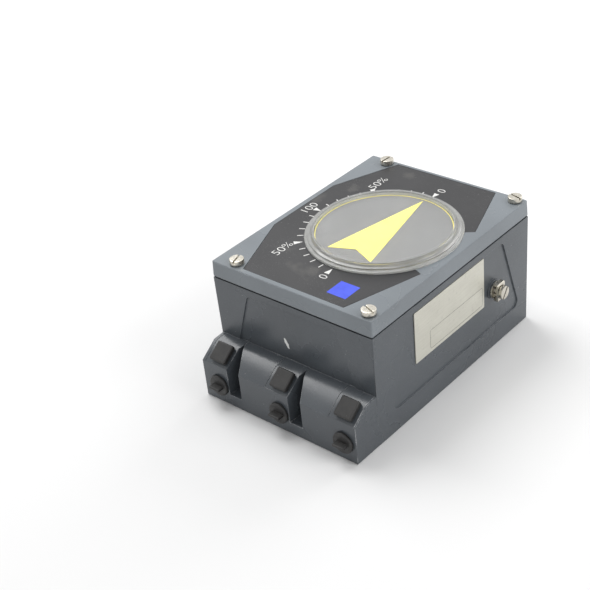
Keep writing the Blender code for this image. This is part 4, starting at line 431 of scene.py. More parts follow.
black_plastic, shader, where = coat("black_plastic", (0.020, 0.020, 0.020), 0.45)
cloudy = noise(black_plastic, where, 120, 3)
shade = blend_colour(black_plastic, cloudy, (0.013, 0.013, 0.013), (0.028, 0.027, 0.026))
shade = rubbed(black_plastic, where, shade, 0.0005, 220, 0.35, (0.12, 0.12, 0.115))
dust_colour = (0.35, 0.35, 0.34)
shade = dusty(black_plastic, where, shade, 520, (0.10, 0.07), 0.5, (90, -0.8), dust_colour)
dull = noise(black_plastic, where, 260, 3, 0.38, 0.58)
feed(black_plastic, shader, Base_Color=shade, Roughness=dull)
relief(black_plastic, shader, noise(black_plastic, where, 1200, 2), 0.00002, 0.6)
for number in (1, 2, 3):
    for kind, shape, corner in (("gauge", "square", 20), ("air", "round", 30)):
        plug = soft_copy(f"{kind}_plug_{number}", f"{shape}_plug_{number}", 0.0002, corner)
        fit(plug, black_plastic, f"{kind}_plug_{number}", smooth=30)
fit(soft_copy("breather", "ribbed_breather", 0.0003, corner=30), black_plastic, "breather")

# Earth terminal
# A washer, a bridge-shaped wire clamp and a slotted screw on the right wall's boss. All are
# steel, nickel plated; the washer and the clamp are stamped and the screw is turned.
def painted_crevice_shade(material, reach, darkest):
    """Painted shade in slots and corners: 1 in the open, falling where a surface is closed in."""
    open_air = put_node(material, "AmbientOcclusion", {"samples": 8}, Distance=reach)
    return ramp(material, open_air.outputs["AO"], 0.35, 0.85, darkest, 1.0)


nickel, shader, where = coat("nickel_plate", (0.60, 0.57, 0.50), 0.28, 1.0)
cloudy = noise(nickel, where, 200, 4)
shade = blend_colour(nickel, cloudy, (0.52, 0.495, 0.43), (0.67, 0.64, 0.575))
tarnish = noise(nickel, where, 900, 3, -0.3, 0.45)
shade = blend_colour(nickel, tarnish, shade, (0.46, 0.42, 0.34))
shade = rubbed(nickel, where, shade, 0.0004, 300, 0.6, (0.86, 0.84, 0.78))
# Painted shade darkens the slots and corners.
shade = blend_colour(nickel, painted_crevice_shade(nickel, 0.0011, 0.06), (0.045, 0.040, 0.030), shade)
feed(nickel, shader, Base_Color=shade, Roughness=noise(nickel, where, 420, 3, 0.22, 0.36))
relief(nickel, shader, noise(nickel, where, 1600, 2), 0.000006, 0.5)


def spun(name, outline, steps):
    """A turned piece: its outline is drawn point by point from the top, then spun round."""
    only()
    bpy.ops.mesh.primitive_plane_add(size=0.001, location=(0, 0, 0))
    piece = bpy.context.object
    piece.name = name
    bpy.ops.object.mode_set(mode="EDIT")
    bpy.ops.mesh.merge(type="CENTER")
    bpy.ops.transform.translate(value=(outline[0][0], 0, outline[0][1]))
    for last, here in zip(outline, outline[1:]):
        step = {"value": (here[0] - last[0], 0, here[1] - last[1])}
        bpy.ops.mesh.extrude_vertices_move(TRANSFORM_OT_translate=step)
    if outline[0][0] and outline[-1][0]:
        bpy.ops.mesh.select_all(action="DESELECT")
        bpy.ops.object.mode_set(mode="OBJECT")
        for end in (0, -1):
            piece.data.vertices[end].select = True
        bpy.ops.object.mode_set(mode="EDIT")
        bpy.ops.mesh.edge_face_add()
    bpy.ops.mesh.select_all(action="SELECT")
    bpy.ops.mesh.spin(steps=steps, angle=math.tau, center=(0, 0, 0), axis=(0, 0, 1))
    bpy.ops.mesh.select_all(action="SELECT")
    bpy.ops.mesh.remove_doubles(threshold=0.000005)
    bpy.ops.mesh.normals_make_consistent(inside=False)
    bpy.ops.object.mode_set(mode="OBJECT")
    return piece


def take_away(piece, *blocks):
    """Cuts plain blocks out of a piece, each given by its middle and its size."""
    for middle, size in blocks:
        only()
        bpy.ops.mesh.primitive_cube_add(size=1, location=middle, scale=size)
        tool = bpy.context.object
        only(piece)
        cut = piece.modifiers.new("cut", "BOOLEAN")
        cut.operation = "DIFFERENCE"
        cut.object = tool
        bpy.ops.object.modifier_apply(modifier="cut")
        bpy.data.objects.remove(tool)
    return piece


def break_edges(piece, width):
    """Takes the sharpness off every steep edge."""
    only(piece)
    edge = piece.modifiers.new("edge", "BEVEL")
    edge.width = width
    edge.segments = 2
    edge.limit_method = "ANGLE"
    edge.angle_limit = math.radians(50)
    bpy.ops.object.modifier_apply(modifier="edge")
    return piece


def slotted_screw(name, head, tall, shank, length):
    """A cheese-head screw on +Z, seated at the origin, with its slot along X."""
    edge = head * 0.10
    outline = [
        (0, tall),
        (head - edge, tall),
        (head - edge * 0.30, tall - edge * 0.30),
        (head, tall - edge),
        (head, tall * 0.25),
        (head - edge * 0.2, 0),
        (shank, 0),
    ]
    core = shank * 0.84
    turns = int(length * 0.6 / (shank * 0.4))
    threaded = length * 0.55
    for turn in range(turns):
        low = -length * 0.35 - threaded * turn / turns
        outline += [(shank, low), (core, low - threaded / turns / 2)]
    outline += [(core, -length + shank * 0.2), (shank * 0.6, -length), (0, -length)]
    slot = ((0, 0, tall * 1.06), (head * 3, head * 0.26, tall))
    return break_edges(take_away(spun(name, outline, steps=64), slot), head * 0.025)


def copied(screw, name):
    """One more of the same, with its own mesh."""
    twin = screw.copy()
    twin.data = screw.data.copy()
    twin.name = name
    bpy.context.scene.collection.objects.link(twin)
    return twin


for part in ("washer", "clamp"):
    fit(soft_copy("earth_" + part, "terminal_" + part, 0.0002, corner=30), nickel, "earth_" + part)
screw_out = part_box("earth_screw")[1].x - 0.00265
place = Matrix.Translation((screw_out, 0.0380, 0.04245)) @ facing
place = place @ Matrix.Rotation(math.radians(55), 4, "Z")
earth_screw = slotted_screw("terminal_screw", head=0.0043, tall=0.0026, shank=0.0024, length=0.0092)
fit(earth_screw, nickel, "earth_screw", place=place)

# Pilot valve
# A die-cast block on a gasket, held by two screws. A ported brass sleeve is pressed into its
# bore, and a ground steel spool slides in the sleeve and ends in two link discs.
def metal(name, dark, light, roughness):
    """Bare metal: two tones in clouds, uneven polish, painted shade in the corners and tool marks.
    """
    material, shader, where = coat(name, light, roughness, 1.0)
    bright = tuple(min(1, part * 1.15) for part in light)
    crevice_shade_colour = tuple(part * 0.16 for part in dark)
    shade = blend_colour(material, noise(material, where, 130, 4), dark, light)
    shade = rubbed(material, where, shade, 0.0003, 260, 0.5, bright)
    # Painted shade darkens the corners.
    shade = blend_colour(material, painted_crevice_shade(material, 0.0012, 0.25), crevice_shade_colour, shade)
    dull = noise(material, where, 300, 3, roughness - 0.07, roughness + 0.1)
    feed(material, shader, Base_Color=shade, Roughness=dull)
    relief(material, shader, noise(material, where, 1800, 2), 0.00001, 0.5)
    return material


def at(x, y, z, turn=0.0):
    """A place turned about its own upright, by radians."""
    return Matrix.Translation((x, y, z)) @ Matrix.Rotation(turn, 4, "Z")


def along_x(x, y, z):
    """A place whose +Z points along the positioner's +X."""
    return Matrix.Translation((x, y, z)) @ Matrix.Rotation(math.pi / 2, 4, "Y")


steel = metal("steel", (0.34, 0.34, 0.335), (0.47, 0.47, 0.465), 0.28)
brass = metal("brass", (0.50, 0.35, 0.14), (0.62, 0.46, 0.20), 0.30)
die_casting = metal("die_casting", (0.27, 0.275, 0.28), (0.38, 0.385, 0.39), 0.46)
black_rubber = mottled(
    "black_rubber",
    (0.018, 0.018, 0.019),
    0.75,
    tones=((0.014, 0.014, 0.015), (0.045, 0.045, 0.046)),
    clouds=90,
    gloss=(0.6, 0.85),
    smears=150,
    grain=(900, 0.00002, 0.6),
)

fit(soft_copy("pilot_block", "valve_block", 0.0003), die_casting, "pilot_block")
frame["nodes"]["pilot_gasket"].material_slots[0].material = black_rubber
valve_y, valve_height = -0.060, 0.024
sleeve = [
    (0.00415, 0.0540),
    (0.0066, 0.0540),
    (0.0070, 0.0536),
    (0.0070, 0.0004),
    (0.0066, 0),
    (0.00415, 0),
]
port_size = (0.006, 0.0026, 0.0026)
ports = [((0.0070, 0, share * 0.058 - 0.002), port_size) for share in (0.2, 0.5, 0.8)]
liner = take_away(spun("valve_sleeve", sleeve, steps=64), *ports)
fit(liner, brass, "pilot_sleeve", place=along_x(-0.0340, valve_y, valve_height))
spool = [
    (0, 0.0419),
    (0.0028, 0.0419),
    (0.0032, 0.0415),
    (0.0032, 0.0403),
    (0.0015, 0.0403),
    (0.0015, 0.0357),
    (0.0032, 0.0357),
    (0.0032, 0.0341),
    (0.0026, 0.0335),
    (0.0026, 0.0180),
    (0.0040, 0.0180),
    (0.0040, 0.01308),
    (0.0026, 0.01308),
    (0.0026, 0.00308),
    (0.0040, 0.00308),
    (0.0040, -0.00432),
    (0.0026, -0.00432),
    (0.0026, -0.01432),
    (0.0040, -0.01432),
    (0.0040, -0.0316),
    (0.0036, -0.0320),
    (0, -0.0320),
]
valve_spool = spun("valve_spool", spool, steps=48)
fit(valve_spool, steel, "pilot_spool", place=along_x(0, valve_y, valve_height))
block_screw = slotted_screw("block_screw", head=0.0031, tall=0.0024, shank=0.0015, length=0.0326)
for side, x, turn in (("left", -0.0305, 40), ("right", 0.0165, 62)):
    place = at(x, -0.050, 0.0363, math.radians(turn))
    fit(copied(block_screw, "block_screw_" + side), nickel, "pilot_screw_" + side, place=place)
bpy.data.objects.remove(block_screw)

# Diaphragm capsule
# Two turned halves clamp the rubber diaphragm between their flanges with four screws. The
# rear half stands on a foot on the floor, and the stem slides in the front half's nose.
capsule_x, capsule_y, capsule_height = 0.010, 0.050, 0.024
rear_half = [
    (0, 0.0085),
    (0.0110, 0.0085),
    (0.0124, 0.0079),
    (0.0130, 0.0065),
    (0.0130, 0.0035),
    (0.0167, 0.0035),
    (0.0170, 0.0032),
    (0.0170, 0.0005),
    (0.0105, 0.0005),
    (0.0105, 0.0055),
    (0, 0.0055),
]
body_half = spun("capsule_rear", rear_half, steps=96)
only()
foot_middle, foot_size = (0.01475, 0, 0.0045), (0.0059, 0.0180, 0.0080)
bpy.ops.mesh.primitive_cube_add(size=1, location=foot_middle, scale=foot_size)
foot = bpy.context.object
break_edges(foot, 0.0004)
only(foot, body_half)
weld = body_half.modifiers.new("foot", "BOOLEAN")
weld.operation = "UNION"
weld.object = foot
bpy.ops.object.modifier_apply(modifier="foot")
bpy.data.objects.remove(foot)
backward = Matrix.Translation((capsule_x, capsule_y, capsule_height))
backward = backward @ Matrix.Rotation(-math.pi / 2, 4, "Y") @ Matrix.Rotation(math.pi, 4, "Z")
fit(body_half, die_casting, "capsule_body", place=backward)
front_half = [
    (0.00215, 0.0145),
    (0.0052, 0.0145),
    (0.0060, 0.0137),
    (0.0060, 0.0090),
    (0.0065, 0.0085),
    (0.0110, 0.0085),
    (0.0124, 0.0079),
    (0.0130, 0.0065),
    (0.0130, 0.0035),
    (0.0167, 0.0035),
    (0.0170, 0.0032),
    (0.0170, 0.0005),
    (0.0105, 0.0005),
    (0.0105, 0.0055),
    (0.00215, 0.0055),
]
forward = along_x(capsule_x, capsule_y, capsule_height)
fit(spun("capsule_front", front_half, steps=96), die_casting, "capsule_cover", place=forward)
frame["nodes"]["diaphragm"].material_slots[0].material = black_rubber
stem = [
    (0, 0.0262),
    (0.0010, 0.0262),
    (0.0017, 0.0259),
    (0.0020, 0.0252),
    (0.0020, 0.0015),
    (0.0053, 0.0015),
    (0.0055, 0.0013),
    (0.0055, -0.0013),
    (0.0053, -0.0015),
    (0, -0.0015),
]
fit(spun("capsule_stem", stem, steps=48), steel, "diaphragm_stem", place=forward)
flange_screw = slotted_screw("flange_screw", head=0.0021, tall=0.0016, shank=0.0013, length=0.0058)
for number in (1, 2, 3, 4):
    low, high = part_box(f"capsule_screw_{number}")
    place = along_x(high.x - 0.0016, (low.y + high.y) / 2, (low.z + high.z) / 2)
    place = place @ Matrix.Rotation(math.radians(37 * number), 4, "Z")
    twin = copied(flange_screw, f"flange_screw_{number}")
    fit(twin, nickel, f"capsule_screw_{number}", place=place)
bpy.data.objects.remove(flange_screw)

# Spindle, bush and ring
# The steel spindle is turned in one piece, with two flats at its drive end, and it runs in a
# bronze bush pressed into the housing's boss. A rubber ring in a groove keeps water out.
shaft = [
    (0, 0.0817),
    (0.0045, 0.0817),
    (0.0050, 0.0812),
    (0.0050, 0.0597),
    (0.0070, 0.0597),
    (0.0070, 0.0567),
    (0.0060, 0.0547),
    (0.0060, 0.0325),
    (0.0062, 0.0314),
    (0.0070, 0.0307),
    (0.0080, 0.0305),
    (0.0117, 0.0305),
    (0.0120, 0.0302),
    (0.0120, 0.0283),
    (0.0117, 0.0280),
    (0.0090, 0.0280),
    (0.0090, 0.0089),
    (0.0079, 0.0089),
    (0.0079, 0.0071),
    (0.0090, 0.0071),
    (0.0090, 0.0005),
    (0.0085, 0),
    (0, 0),
]
flat_size = (0.0040, 0.024, 0.0064)
flats = [((side * 0.0098, 0, 0.0022), flat_size) for side in (1, -1)]
fit(take_away(spun("drive_shaft", shaft, steps=96), *flats), steel, "spindle")
bronze = metal("bronze", (0.42, 0.27, 0.12), (0.56, 0.40, 0.21), 0.38)
bush = [
    (0.0094, 0.0277),
    (0.0117, 0.0277),
    (0.0120, 0.0274),
    (0.0120, 0.0106),
    (0.0117, 0.0103),
    (0.00915, 0.0103),
    (0.00915, 0.02745),
]
fit(spun("shaft_bush", bush, steps=96), bronze, "spindle_bush")
frame["nodes"]["spindle_ring"].material_slots[0].material = black_rubber

# Cam and lock nut
# The snail cam is stamped from hardened steel, with index holes, and a knurled brass nut
# locks it on the spindle.
fit(soft_copy("cam", "snail_cam", 0.00015, corner=40), steel, "cam", smooth=30)
fit(soft_copy("cam_nut", "knurled_nut", 0.00012, corner=25), brass, "cam_nut", smooth=20)

# Follower arm and roller
# A die-cast arm swings on a shouldered steel pin. Its brass roller rides the cam's edge on a
# pin of its own, and a post under the arm carries the zero screw.
def printed(name, low, thick, *outlines):
    """A flat shape with these outlines, cut or printed this thick from a height up."""
    curve = bpy.data.curves.new(name, "CURVE")
    curve.dimensions = "2D"
    curve.fill_mode = "BOTH"
    curve.extrude = thick / 2
    for spots in outlines:
        line = curve.splines.new("POLY")
        line.points.add(len(spots) - 1)
        for point, (x, y) in zip(line.points, spots):
            point.co = (x, y, 0, 1)
        line.use_cyclic_u = True
    piece = bpy.data.objects.new(name, curve)
    bpy.context.scene.collection.objects.link(piece)
    only(piece)
    bpy.ops.object.convert(target="MESH")
    piece = bpy.context.object
    piece.location = (0, 0, low + thick / 2)
    only(piece)
    bpy.ops.object.transform_apply(location=True, rotation=False, scale=False)
    bpy.ops.object.mode_set(mode="EDIT")
    bpy.ops.mesh.select_all(action="SELECT")
    bpy.ops.mesh.remove_doubles(threshold=0.0000005)
    bpy.ops.mesh.normals_make_consistent(inside=False)
    bpy.ops.object.mode_set(mode="OBJECT")
    return piece


def ring_of(x, y, radius, steps=48, start=0.0, sweep=math.tau):
    """Points round a circle or along an arc."""
    turns = [start + sweep * step / steps for step in range(steps + (sweep < math.tau))]
    return [(x + radius * math.cos(turn), y + radius * math.sin(turn)) for turn in turns]


low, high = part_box("follower_roller")
pivot = Vector((-0.026, 0.045))
tip = Vector(((low.x + high.x) / 2, (low.y + high.y) / 2))
hub_end, tip_end = 0.0064, 0.0045
heading = math.atan2(tip.y - pivot.y, tip.x - pivot.x)
tilt = math.acos((hub_end - tip_end) / (tip - pivot).length)
edge_line = ring_of(*tip, tip_end, 24, heading - tilt, 2 * tilt)
edge_line += ring_of(*pivot, hub_end, 40, heading + tilt, 2 * (math.pi - tilt))
holes = ring_of(*pivot, 0.0032), ring_of(*pivot.lerp(tip, 0.80), 0.0022, 32)
arm_plate = printed("cam_follower", 0.0550, 0.0030, edge_line, *holes)
break_edges(arm_plate, 0.0003)
hub = [
    (0.00315, 0.0578),
    (0.0061, 0.0578),
    (0.0065, 0.0574),
    (0.0065, 0.0407),
    (0.0061, 0.0403),
    (0.00315, 0.0403),
]
arm_hub = spun("arm_hub", hub, steps=64)
arm_hub.location = (*pivot, 0)
only(arm_hub)
bpy.ops.object.transform_apply(location=True, rotation=False, scale=False)
post_low, post_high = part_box("follower_arm")[0].z, 0.0560
spring_reach, arm_length = 0.024, 0.045
post_middle = (*pivot.lerp(tip, spring_reach / arm_length), (post_low + post_high) / 2)
post_size = (0.0080, 0.0080, post_high - post_low)
only()
bpy.ops.mesh.primitive_cube_add(size=1, location=post_middle, scale=post_size)
spring_post = break_edges(bpy.context.object, 0.0005)
only(arm_hub, spring_post, arm_plate)
bpy.ops.object.join()
fit(bpy.context.object, die_casting, "follower_arm")
pin = [
    (0, 0.0598),
    (0.0040, 0.0598),
    (0.0047, 0.0595),
    (0.0050, 0.0590),
    (0.0050, 0.0583),
    (0.0030, 0.0583),
    (0.0030, 0.0256),
    (0.0027, 0.0253),
    (0, 0.0253),
]
pin_slot = ((0, 0, 0.0600), (0.012, 0.0011, 0.0014))
shoulder_pin = take_away(spun("shoulder_pin", pin, steps=64), pin_slot)
fit(shoulder_pin, steel, "follower_pin", place=at(*pivot, 0, 0.6))
roller_place = at(*tip, 0)
roller = [
    (0.00165, 0.0640),
    (0.0046, 0.0640),
    (0.0050, 0.0636),
    (0.0050, 0.0594),
    (0.0046, 0.0590),
    (0.00165, 0.0590),
]
fit(spun("cam_roller", roller, steps=64), brass, "follower_roller", place=roller_place)
rivet = [
    (0, 0.0654),
    (0.0012, 0.0653),
    (0.0022, 0.0649),
    (0.0027, 0.0642),
    (0.0015, 0.0642),
    (0.0015, 0.0542),
    (0, 0.0542),
]
fit(spun("roller_rivet", rivet, steps=40), steel, "roller_pin", place=roller_place)

# Zero screw and feedback spring
# A brass screw with a ribbed plastic thumb wheel sets the pull of a spring wound from steel
# wire. One end of the spring is on the follower's post; the other is hooked to the balance
# arm, which moves so little. The spring rides on no body and stays with the housing.
shoulder, crest, root, pitch = 0.0024, 0.0020, 0.00178, 0.0005
thread_top = 0.0178
thread = [(0, 0.0323), (crest, 0.0323), (shoulder, 0.0319), (shoulder, 0.0263)]
thread += [(crest, 0.0263), (crest, thread_top)]
for turn in range(34):
    low_end = thread_top - pitch * turn
    thread += [(crest, low_end), (root, low_end - pitch / 2)]
thread += [(0.0015, 0), (0, 0)]
zero_height = 0.044
low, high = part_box("zero_wheel")
zero_y = (low.y + high.y) / 2
zero_screw = spun("threaded_zero_screw", thread, steps=36)
fit(zero_screw, brass, "zero_screw", place=along_x(-0.0448, zero_y, zero_height))
thumb_wheel = soft_copy("zero_wheel", "thumb_wheel", 0.0002, corner=25)
fit(thumb_wheel, black_plastic, "zero_wheel", smooth=25)
wire_radius, coil_radius = 0.0005, 0.0034
wire = bpy.data.curves.new("coil_wire", "CURVE")
wire.dimensions = "3D"
wire.bevel_depth = wire_radius
wire.bevel_resolution = 3
wire.use_fill_caps = True
coil = wire.splines.new("POLY")
per_turn, turns = 26, 9
coil.points.add(per_turn * turns)
low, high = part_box("feedback_spring")
first_x, last_x = low.x + wire_radius, high.x - wire_radius
for step, point in enumerate(coil.points):
    turn = math.tau * step / per_turn
    x = first_x + (last_x - first_x) * step / (per_turn * turns)
    aside, above = coil_radius * math.cos(turn), coil_radius * math.sin(turn)
    point.co = (x, zero_y + aside, zero_height + above, 1)
spring = bpy.data.objects.new("coil_spring", wire)
bpy.context.scene.collection.objects.link(spring)
only(spring)
bpy.ops.object.convert(target="MESH")
spring = fit(bpy.context.object, steel, "feedback_spring", smooth=60, rides=False)
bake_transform(spring)

# Balance arm
# A die-cast lever on a steel pin, forked round the valve spool's link at its front end and
# touched by the capsule's stem at the other, with a tab for the spring.
fit(soft_copy("balance_arm", "balance_lever", 0.0003), die_casting, "balance_arm")
pin = [
    (0, 0.0327),
    (0.0034, 0.0327),
    (0.0039, 0.0325),
    (0.0042, 0.0321),
    (0.0042, 0.0313),
    (0.0025, 0.0313),
    (0.0025, 0.0036),
    (0.0022, 0.0033),
    (0, 0.0033),
]
pin_slot = ((0, 0, 0.0329), (0.012, 0.0010, 0.0013))
pivot_pin = take_away(spun("pivot_pin", pin, steps=64), pin_slot)
fit(pivot_pin, steel, "balance_pin", place=at(0.038, -0.006, 0, 1.1))

# Indicator hub, disc, arrow and mask
# A moulded hub is pressed on the spindle's tip. It carries the yellow disc with a raised rim
# and arrow, and a grey film mask lies round the arrow.
hub = [
    (0, 0.0850),
    (0.0136, 0.0850),
    (0.0140, 0.0846),
    (0.0140, 0.0834),
    (0.0137, 0.0831),
    (0.0098, 0.0828),
    (0.0086, 0.0822),
    (0.0080, 0.0812),
    (0.0080, 0.0700),
    (0.0077, 0.0697),
    (0.0052, 0.0697),
    (0.0052, 0.0820),
    (0, 0.0820),
]
fit(spun("disc_hub", hub, steps=64), black_plastic, "indicator_hub")

low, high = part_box("indicator_disc")
disc_low, disc_high, disc_radius = low.z, high.z, high.x
disc_face = disc_high - 0.0004
yellow = mottled(
    "yellow_plastic",
    (0.93, 0.78, 0.10),
    0.42,
    tones=((0.90, 0.76, 0.09), (0.97, 0.84, 0.14)),
    clouds=40,
    gloss=(0.36, 0.5),
    smears=200,
    grain=(1300, 0.00001, 0.4),
)


def arrow_corners(grow=0.0):
    """The arrow's tip, barbs and notch, grown outwards."""
    return [
        (0, disc_radius - 0.0019 + grow * 4),
        (-0.01601 - grow, -0.03358 - grow * 1.6),
        (0, -0.0268 - grow),
        (0.01601 + grow, -0.03358 - grow * 1.6),
    ]


disc = spun(
    "dial_disc",
    [
        (0, disc_face),
        (disc_radius - 0.00055, disc_face),
        (disc_radius - 0.00052, disc_high - 0.0001),
        (disc_radius - 0.00045, disc_high),
        (disc_radius - 0.0002, disc_high),
        (disc_radius, disc_high - 0.0002),
        (disc_radius, disc_low + 0.0002),
        (disc_radius - 0.0002, disc_low),
        (0, disc_low),
    ],
    steps=160,
)
arrow = printed("dial_arrow", disc_high - 0.0006, 0.0006, arrow_corners())
only(disc, arrow)
bpy.ops.object.join()
dial_disc = bpy.context.object
dial_disc.name = "dial_disc"
fit(dial_disc, yellow, "indicator_disc")

mask_paint = mottled(
    "mask_film",
    (0.125, 0.125, 0.128),
    0.5,
    tones=((0.115, 0.114, 0.116), (0.140, 0.139, 0.140)),
    clouds=30,
    gloss=(0.44, 0.56),
    smears=90,
)
mask_outline, arrow_hole = ring_of(0, 0, 0.0411, 160), arrow_corners(0.0001)
mask = printed("dial_mask", disc_face + 0.00003, 0.00015, mask_outline, arrow_hole)
fit(mask, mask_paint, "indicator_mask", smooth=20)

# Cover gasket
# A flat gasket of black nitrile rubber, punched to the rim's outline. It lies on the
# housing's rim, and the cover squeezes it.
frame["nodes"]["cover_gasket"].material_slots[0].material = black_rubber

# Cover
# A shallow die-cast lid in the same enamel, with the bore for the window and a shallow
# recess for the scale plate. Its rim overhangs the seam a little.
def in_recess(spot):
    """The cover's recess for the scale plate, whose low walls stay crisp."""
    return spot.z > 0.0854 and abs(spot.x + 0.0075) < 0.0575 and abs(spot.y + 0.002) < 0.0765


cover_enamel = enamel("cover_enamel", (0.185, 0.208, 0.228))[0]
fit(soft_copy("cover", "cover_casting", 0.00030, crisp=in_recess), cover_enamel, "cover")

# Scale plate
# A dark film plate stuck in the cover's recess, printed in white with the scale's marks.
# It is lightly dusty and scuffed.
film, shader, where = coat("scale_film", (0.026, 0.026, 0.028), 0.42)
shader.inputs["Specular IOR Level"].default_value = 0.40
cloudy = noise(film, where, 22, 3)
shade = blend_colour(film, cloudy, (0.018, 0.018, 0.020), (0.030, 0.030, 0.032))
scuffs = noise(film, where, 45, 4, -0.6, 0.16)
shade = blend_colour(film, scuffs, shade, (0.22, 0.21, 0.19))
dust_colour = (0.5, 0.5, 0.48)
shade = dusty(film, where, shade, 420, (0.10, 0.06), 0.6, (70, -0.7), dust_colour)
shade = dusty(film, where, shade, 900, (0.17, 0.102), 0.55, (40, -0.7), dust_colour)
feed(film, shader, Base_Color=shade, Roughness=noise(film, where, 35, 4, 0.36, 0.50))
relief(film, shader, noise(film, where, 1100, 2), 0.00001, 0.5)
frame["nodes"]["scale_plate"].material_slots[0].material = film

plate_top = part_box("scale_plate")[1].z
ink_low = plate_top + ink_depth
white_ink = mottled(
    "white_ink",
    (0.78, 0.78, 0.76),
    0.5,
    tones=((0.66, 0.66, 0.64), (0.84, 0.84, 0.82)),
    clouds=700,
    gloss=(0.4, 0.6),
    smears=500,
)
marks = []


def lettering(words, centre, height, length=None):
    """Printed figures, centred at a place, that read along +Y with their tops towards -X."""
    only()
    bpy.ops.object.text_add(location=(0, 0, 0))
    piece = bpy.context.object
    piece.data.body = words
    piece.data.extrude = 0.002
    piece.data.offset = -0.012
    bpy.ops.object.convert(target="MESH")
    piece = bpy.context.object
    corners = [Vector(corner) for corner in piece.bound_box]
    low = Vector(map(min, zip(*corners)))
    high = Vector(map(max, zip(*corners)))
    tall = height / (high.y - low.y)
    wide = length / (high.x - low.x) if length else tall
    middle = (low + high) / 2
    place = at(*centre, plate_top + 0.00003, math.pi / 2)
    place = place @ Matrix.Diagonal((wide, tall, 0.005, 1)) @ Matrix.Translation(-middle)
    piece.matrix_world = place
    only(piece)
    bpy.ops.object.transform_apply(location=True, rotation=True, scale=True)
    return piece


def outward(turn, reach, aside=0.0):
    """A point this far out from the dial's centre at an angle, and this far to the side."""
    angle = math.radians(turn)
    return (
        reach * math.cos(angle) - aside * math.sin(angle),
        reach * math.sin(angle) + aside * math.cos(angle),
    )


for turn in (90, 135, 180, -135, -90):
    tip, base, half = 0.0488, 0.0544, 0.0018
    corners = [outward(turn, *spot) for spot in ((tip,), (base, half), (base, -half))]
    marks.append(printed("pointer", ink_low, ink_depth, corners))
for turn in (99, 108, 117, 126, 144, 153, 162, 171, -171, -162, -153, -144, -126, -117, -108, -99):
    near, far, half = 0.0486, 0.0524, 0.00035
    spots = ((near, half), (far, half), (far, -half), (near, -half))
    corners = [outward(turn, *spot) for spot in spots]
    marks.append(printed("tick", ink_low, ink_depth, corners))
marks.append(lettering("0", (0.0003, 0.0590), 0.0055))
marks.append(lettering("0", (0.0006, -0.0580), 0.0055))
marks.append(lettering("100", (-0.0582, -0.0001), 0.0056, 0.0114))
marks.append(lettering("50%", (-0.0402, -0.0470), 0.0056, 0.0150))
marks.append(lettering("50%", (-0.0404, 0.0468), 0.0056, 0.0150))
only(*marks)
bpy.ops.object.join()
scale_print = bpy.context.object
scale_print.name = "scale_print"
fit(scale_print, white_ink, like="scale_plate", smooth=20)

blue_ink = mottled(
    "blue_ink",
    (0.045, 0.085, 0.75),
    0.45,
    tones=((0.040, 0.075, 0.66), (0.055, 0.10, 0.82)),
    clouds=260,
    gloss=(0.38, 0.55),
    smears=120,
)
corners = [(0.0125, -0.0696), (0.0261, -0.0696), (0.0261, -0.0560), (0.0125, -0.0560)]
fit(printed("blue_square", ink_low, ink_depth, corners), blue_ink, like="scale_plate", smooth=20)

# Indicator window, seal and snap ring
# A clear moulded cup: a flange on the cover, a stepped wall, a flat top and a spigot that
# a steel snap ring holds from below. Years of wiping have dulled its rim.
cover_top = 0.0861
clear, shader, where = coat("clear_plastic", (0.95, 0.96, 0.95), 0.04)
shader.inputs["IOR"].default_value = 1.49
across = put_node(clear, "VectorMath", {"operation": "MULTIPLY"}, i0=where, i1=(1, 1, 0))
reach = put_node(clear, "VectorMath", {"operation": "LENGTH"}, i0=across.outputs[0])
rim = ramp(clear, reach.outputs["Value"], 0.0421, 0.0424)
dulled = noise(clear, where, 60, 3)
dulled = blend_colour(clear, dulled, (0.42, 0.423, 0.408), (0.50, 0.503, 0.488))
feed(clear, shader, Base_Color=blend_colour(clear, rim, (0.95, 0.96, 0.95), dulled))
haze = product(clear, rim, noise(clear, where, 90, 3, 0.40, 0.52))
feed(clear, shader, Transmission_Weight=work(clear, "SUBTRACT", 1.0, haze))
wiped = put_node(clear, "Mapping", Vector=where, Scale=(1, 4, 1)).outputs[0]
smears = noise(clear, wiped, 60, 4, 0.02, 0.10)
feed(clear, shader, Roughness=work(clear, "ADD", smears, product(clear, rim, 0.08)))
output = clear.node_tree.nodes["Material Output"]
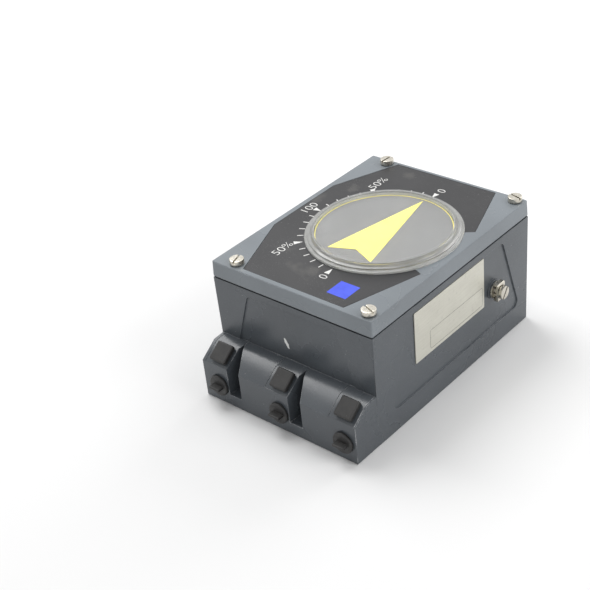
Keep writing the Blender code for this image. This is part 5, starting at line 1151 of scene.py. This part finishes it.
lit = put_node(clear, "LightPath").outputs["Is Shadow Ray"]
through = put_node(clear, "BsdfTransparent", Color=(0.93, 0.93, 0.93, 1)).outputs[0]
mixed = put_node(clear, "MixShader", i0=lit, i1=shader.outputs[0], i2=through)
clear.node_tree.links.new(mixed.outputs[0], output.inputs["Surface"])
window_outline = [
    (0, 0.0050),
    (0.0430, 0.0050),
    (0.0434, 0.00485),
    (0.0436, 0.0045),
    (0.0440, 0.0034),
    (0.0444, 0.0030),
    (0.0456, 0.00275),
    (0.0460, 0.0025),
    (0.0461, 0.0019),
    (0.0464, 0.0017),
    (0.0472, 0.0017),
    (0.0477, 0.00155),
    (0.0480, 0.0011),
    (0.0480, 0.0003),
    (0.0436, 0.0003),
    (0.0436, -0.0033),
    (0.0431, -0.0033),
    (0.0431, -0.0046),
    (0.0436, -0.0046),
    (0.0436, -0.0056),
    (0.0424, -0.0056),
    (0.0424, 0.0028),
    (0.0422, 0.0032),
    (0.0418, 0.0034),
    (0, 0.0034),
]
window_outline = [(radius, cover_top + height) for radius, height in window_outline]
window = spun("clear_window", window_outline, steps=160)
notch_middle, notch_size = (0.0483, 0, cover_top), (0.0026, 0.0024, 0.0014)
take_away(window, (notch_middle, notch_size))
fit(window, clear, "indicator_window", smooth=25)
frame["nodes"]["window_seal"].material_slots[0].material = black_rubber
fit(soft_copy("window_clip", "snap_ring", 0.00015, corner=40), steel, "window_clip", smooth=30)

# Cover screws
# Four M5 slotted cheese-head screws, turned in steel and nickel plated, go through the
# cover's corners into the housing's bosses.
head_height = 0.0033
cover_screw = slotted_screw(
    "cover_screw", head=0.0044, tall=head_height, shank=0.0025, length=0.0165
)
slot_turns = {"front_left": 108, "front_right": -21, "back_left": 85, "back_right": -14}
for corner, turn in slot_turns.items():
    low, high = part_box("cover_screw_" + corner)
    middle = (low + high) / 2
    place = at(middle.x, middle.y, high.z - head_height, math.radians(turn))
    fit(copied(cover_screw, "screw_" + corner), nickel, "cover_screw_" + corner, place=place)
bpy.data.objects.remove(cover_screw)
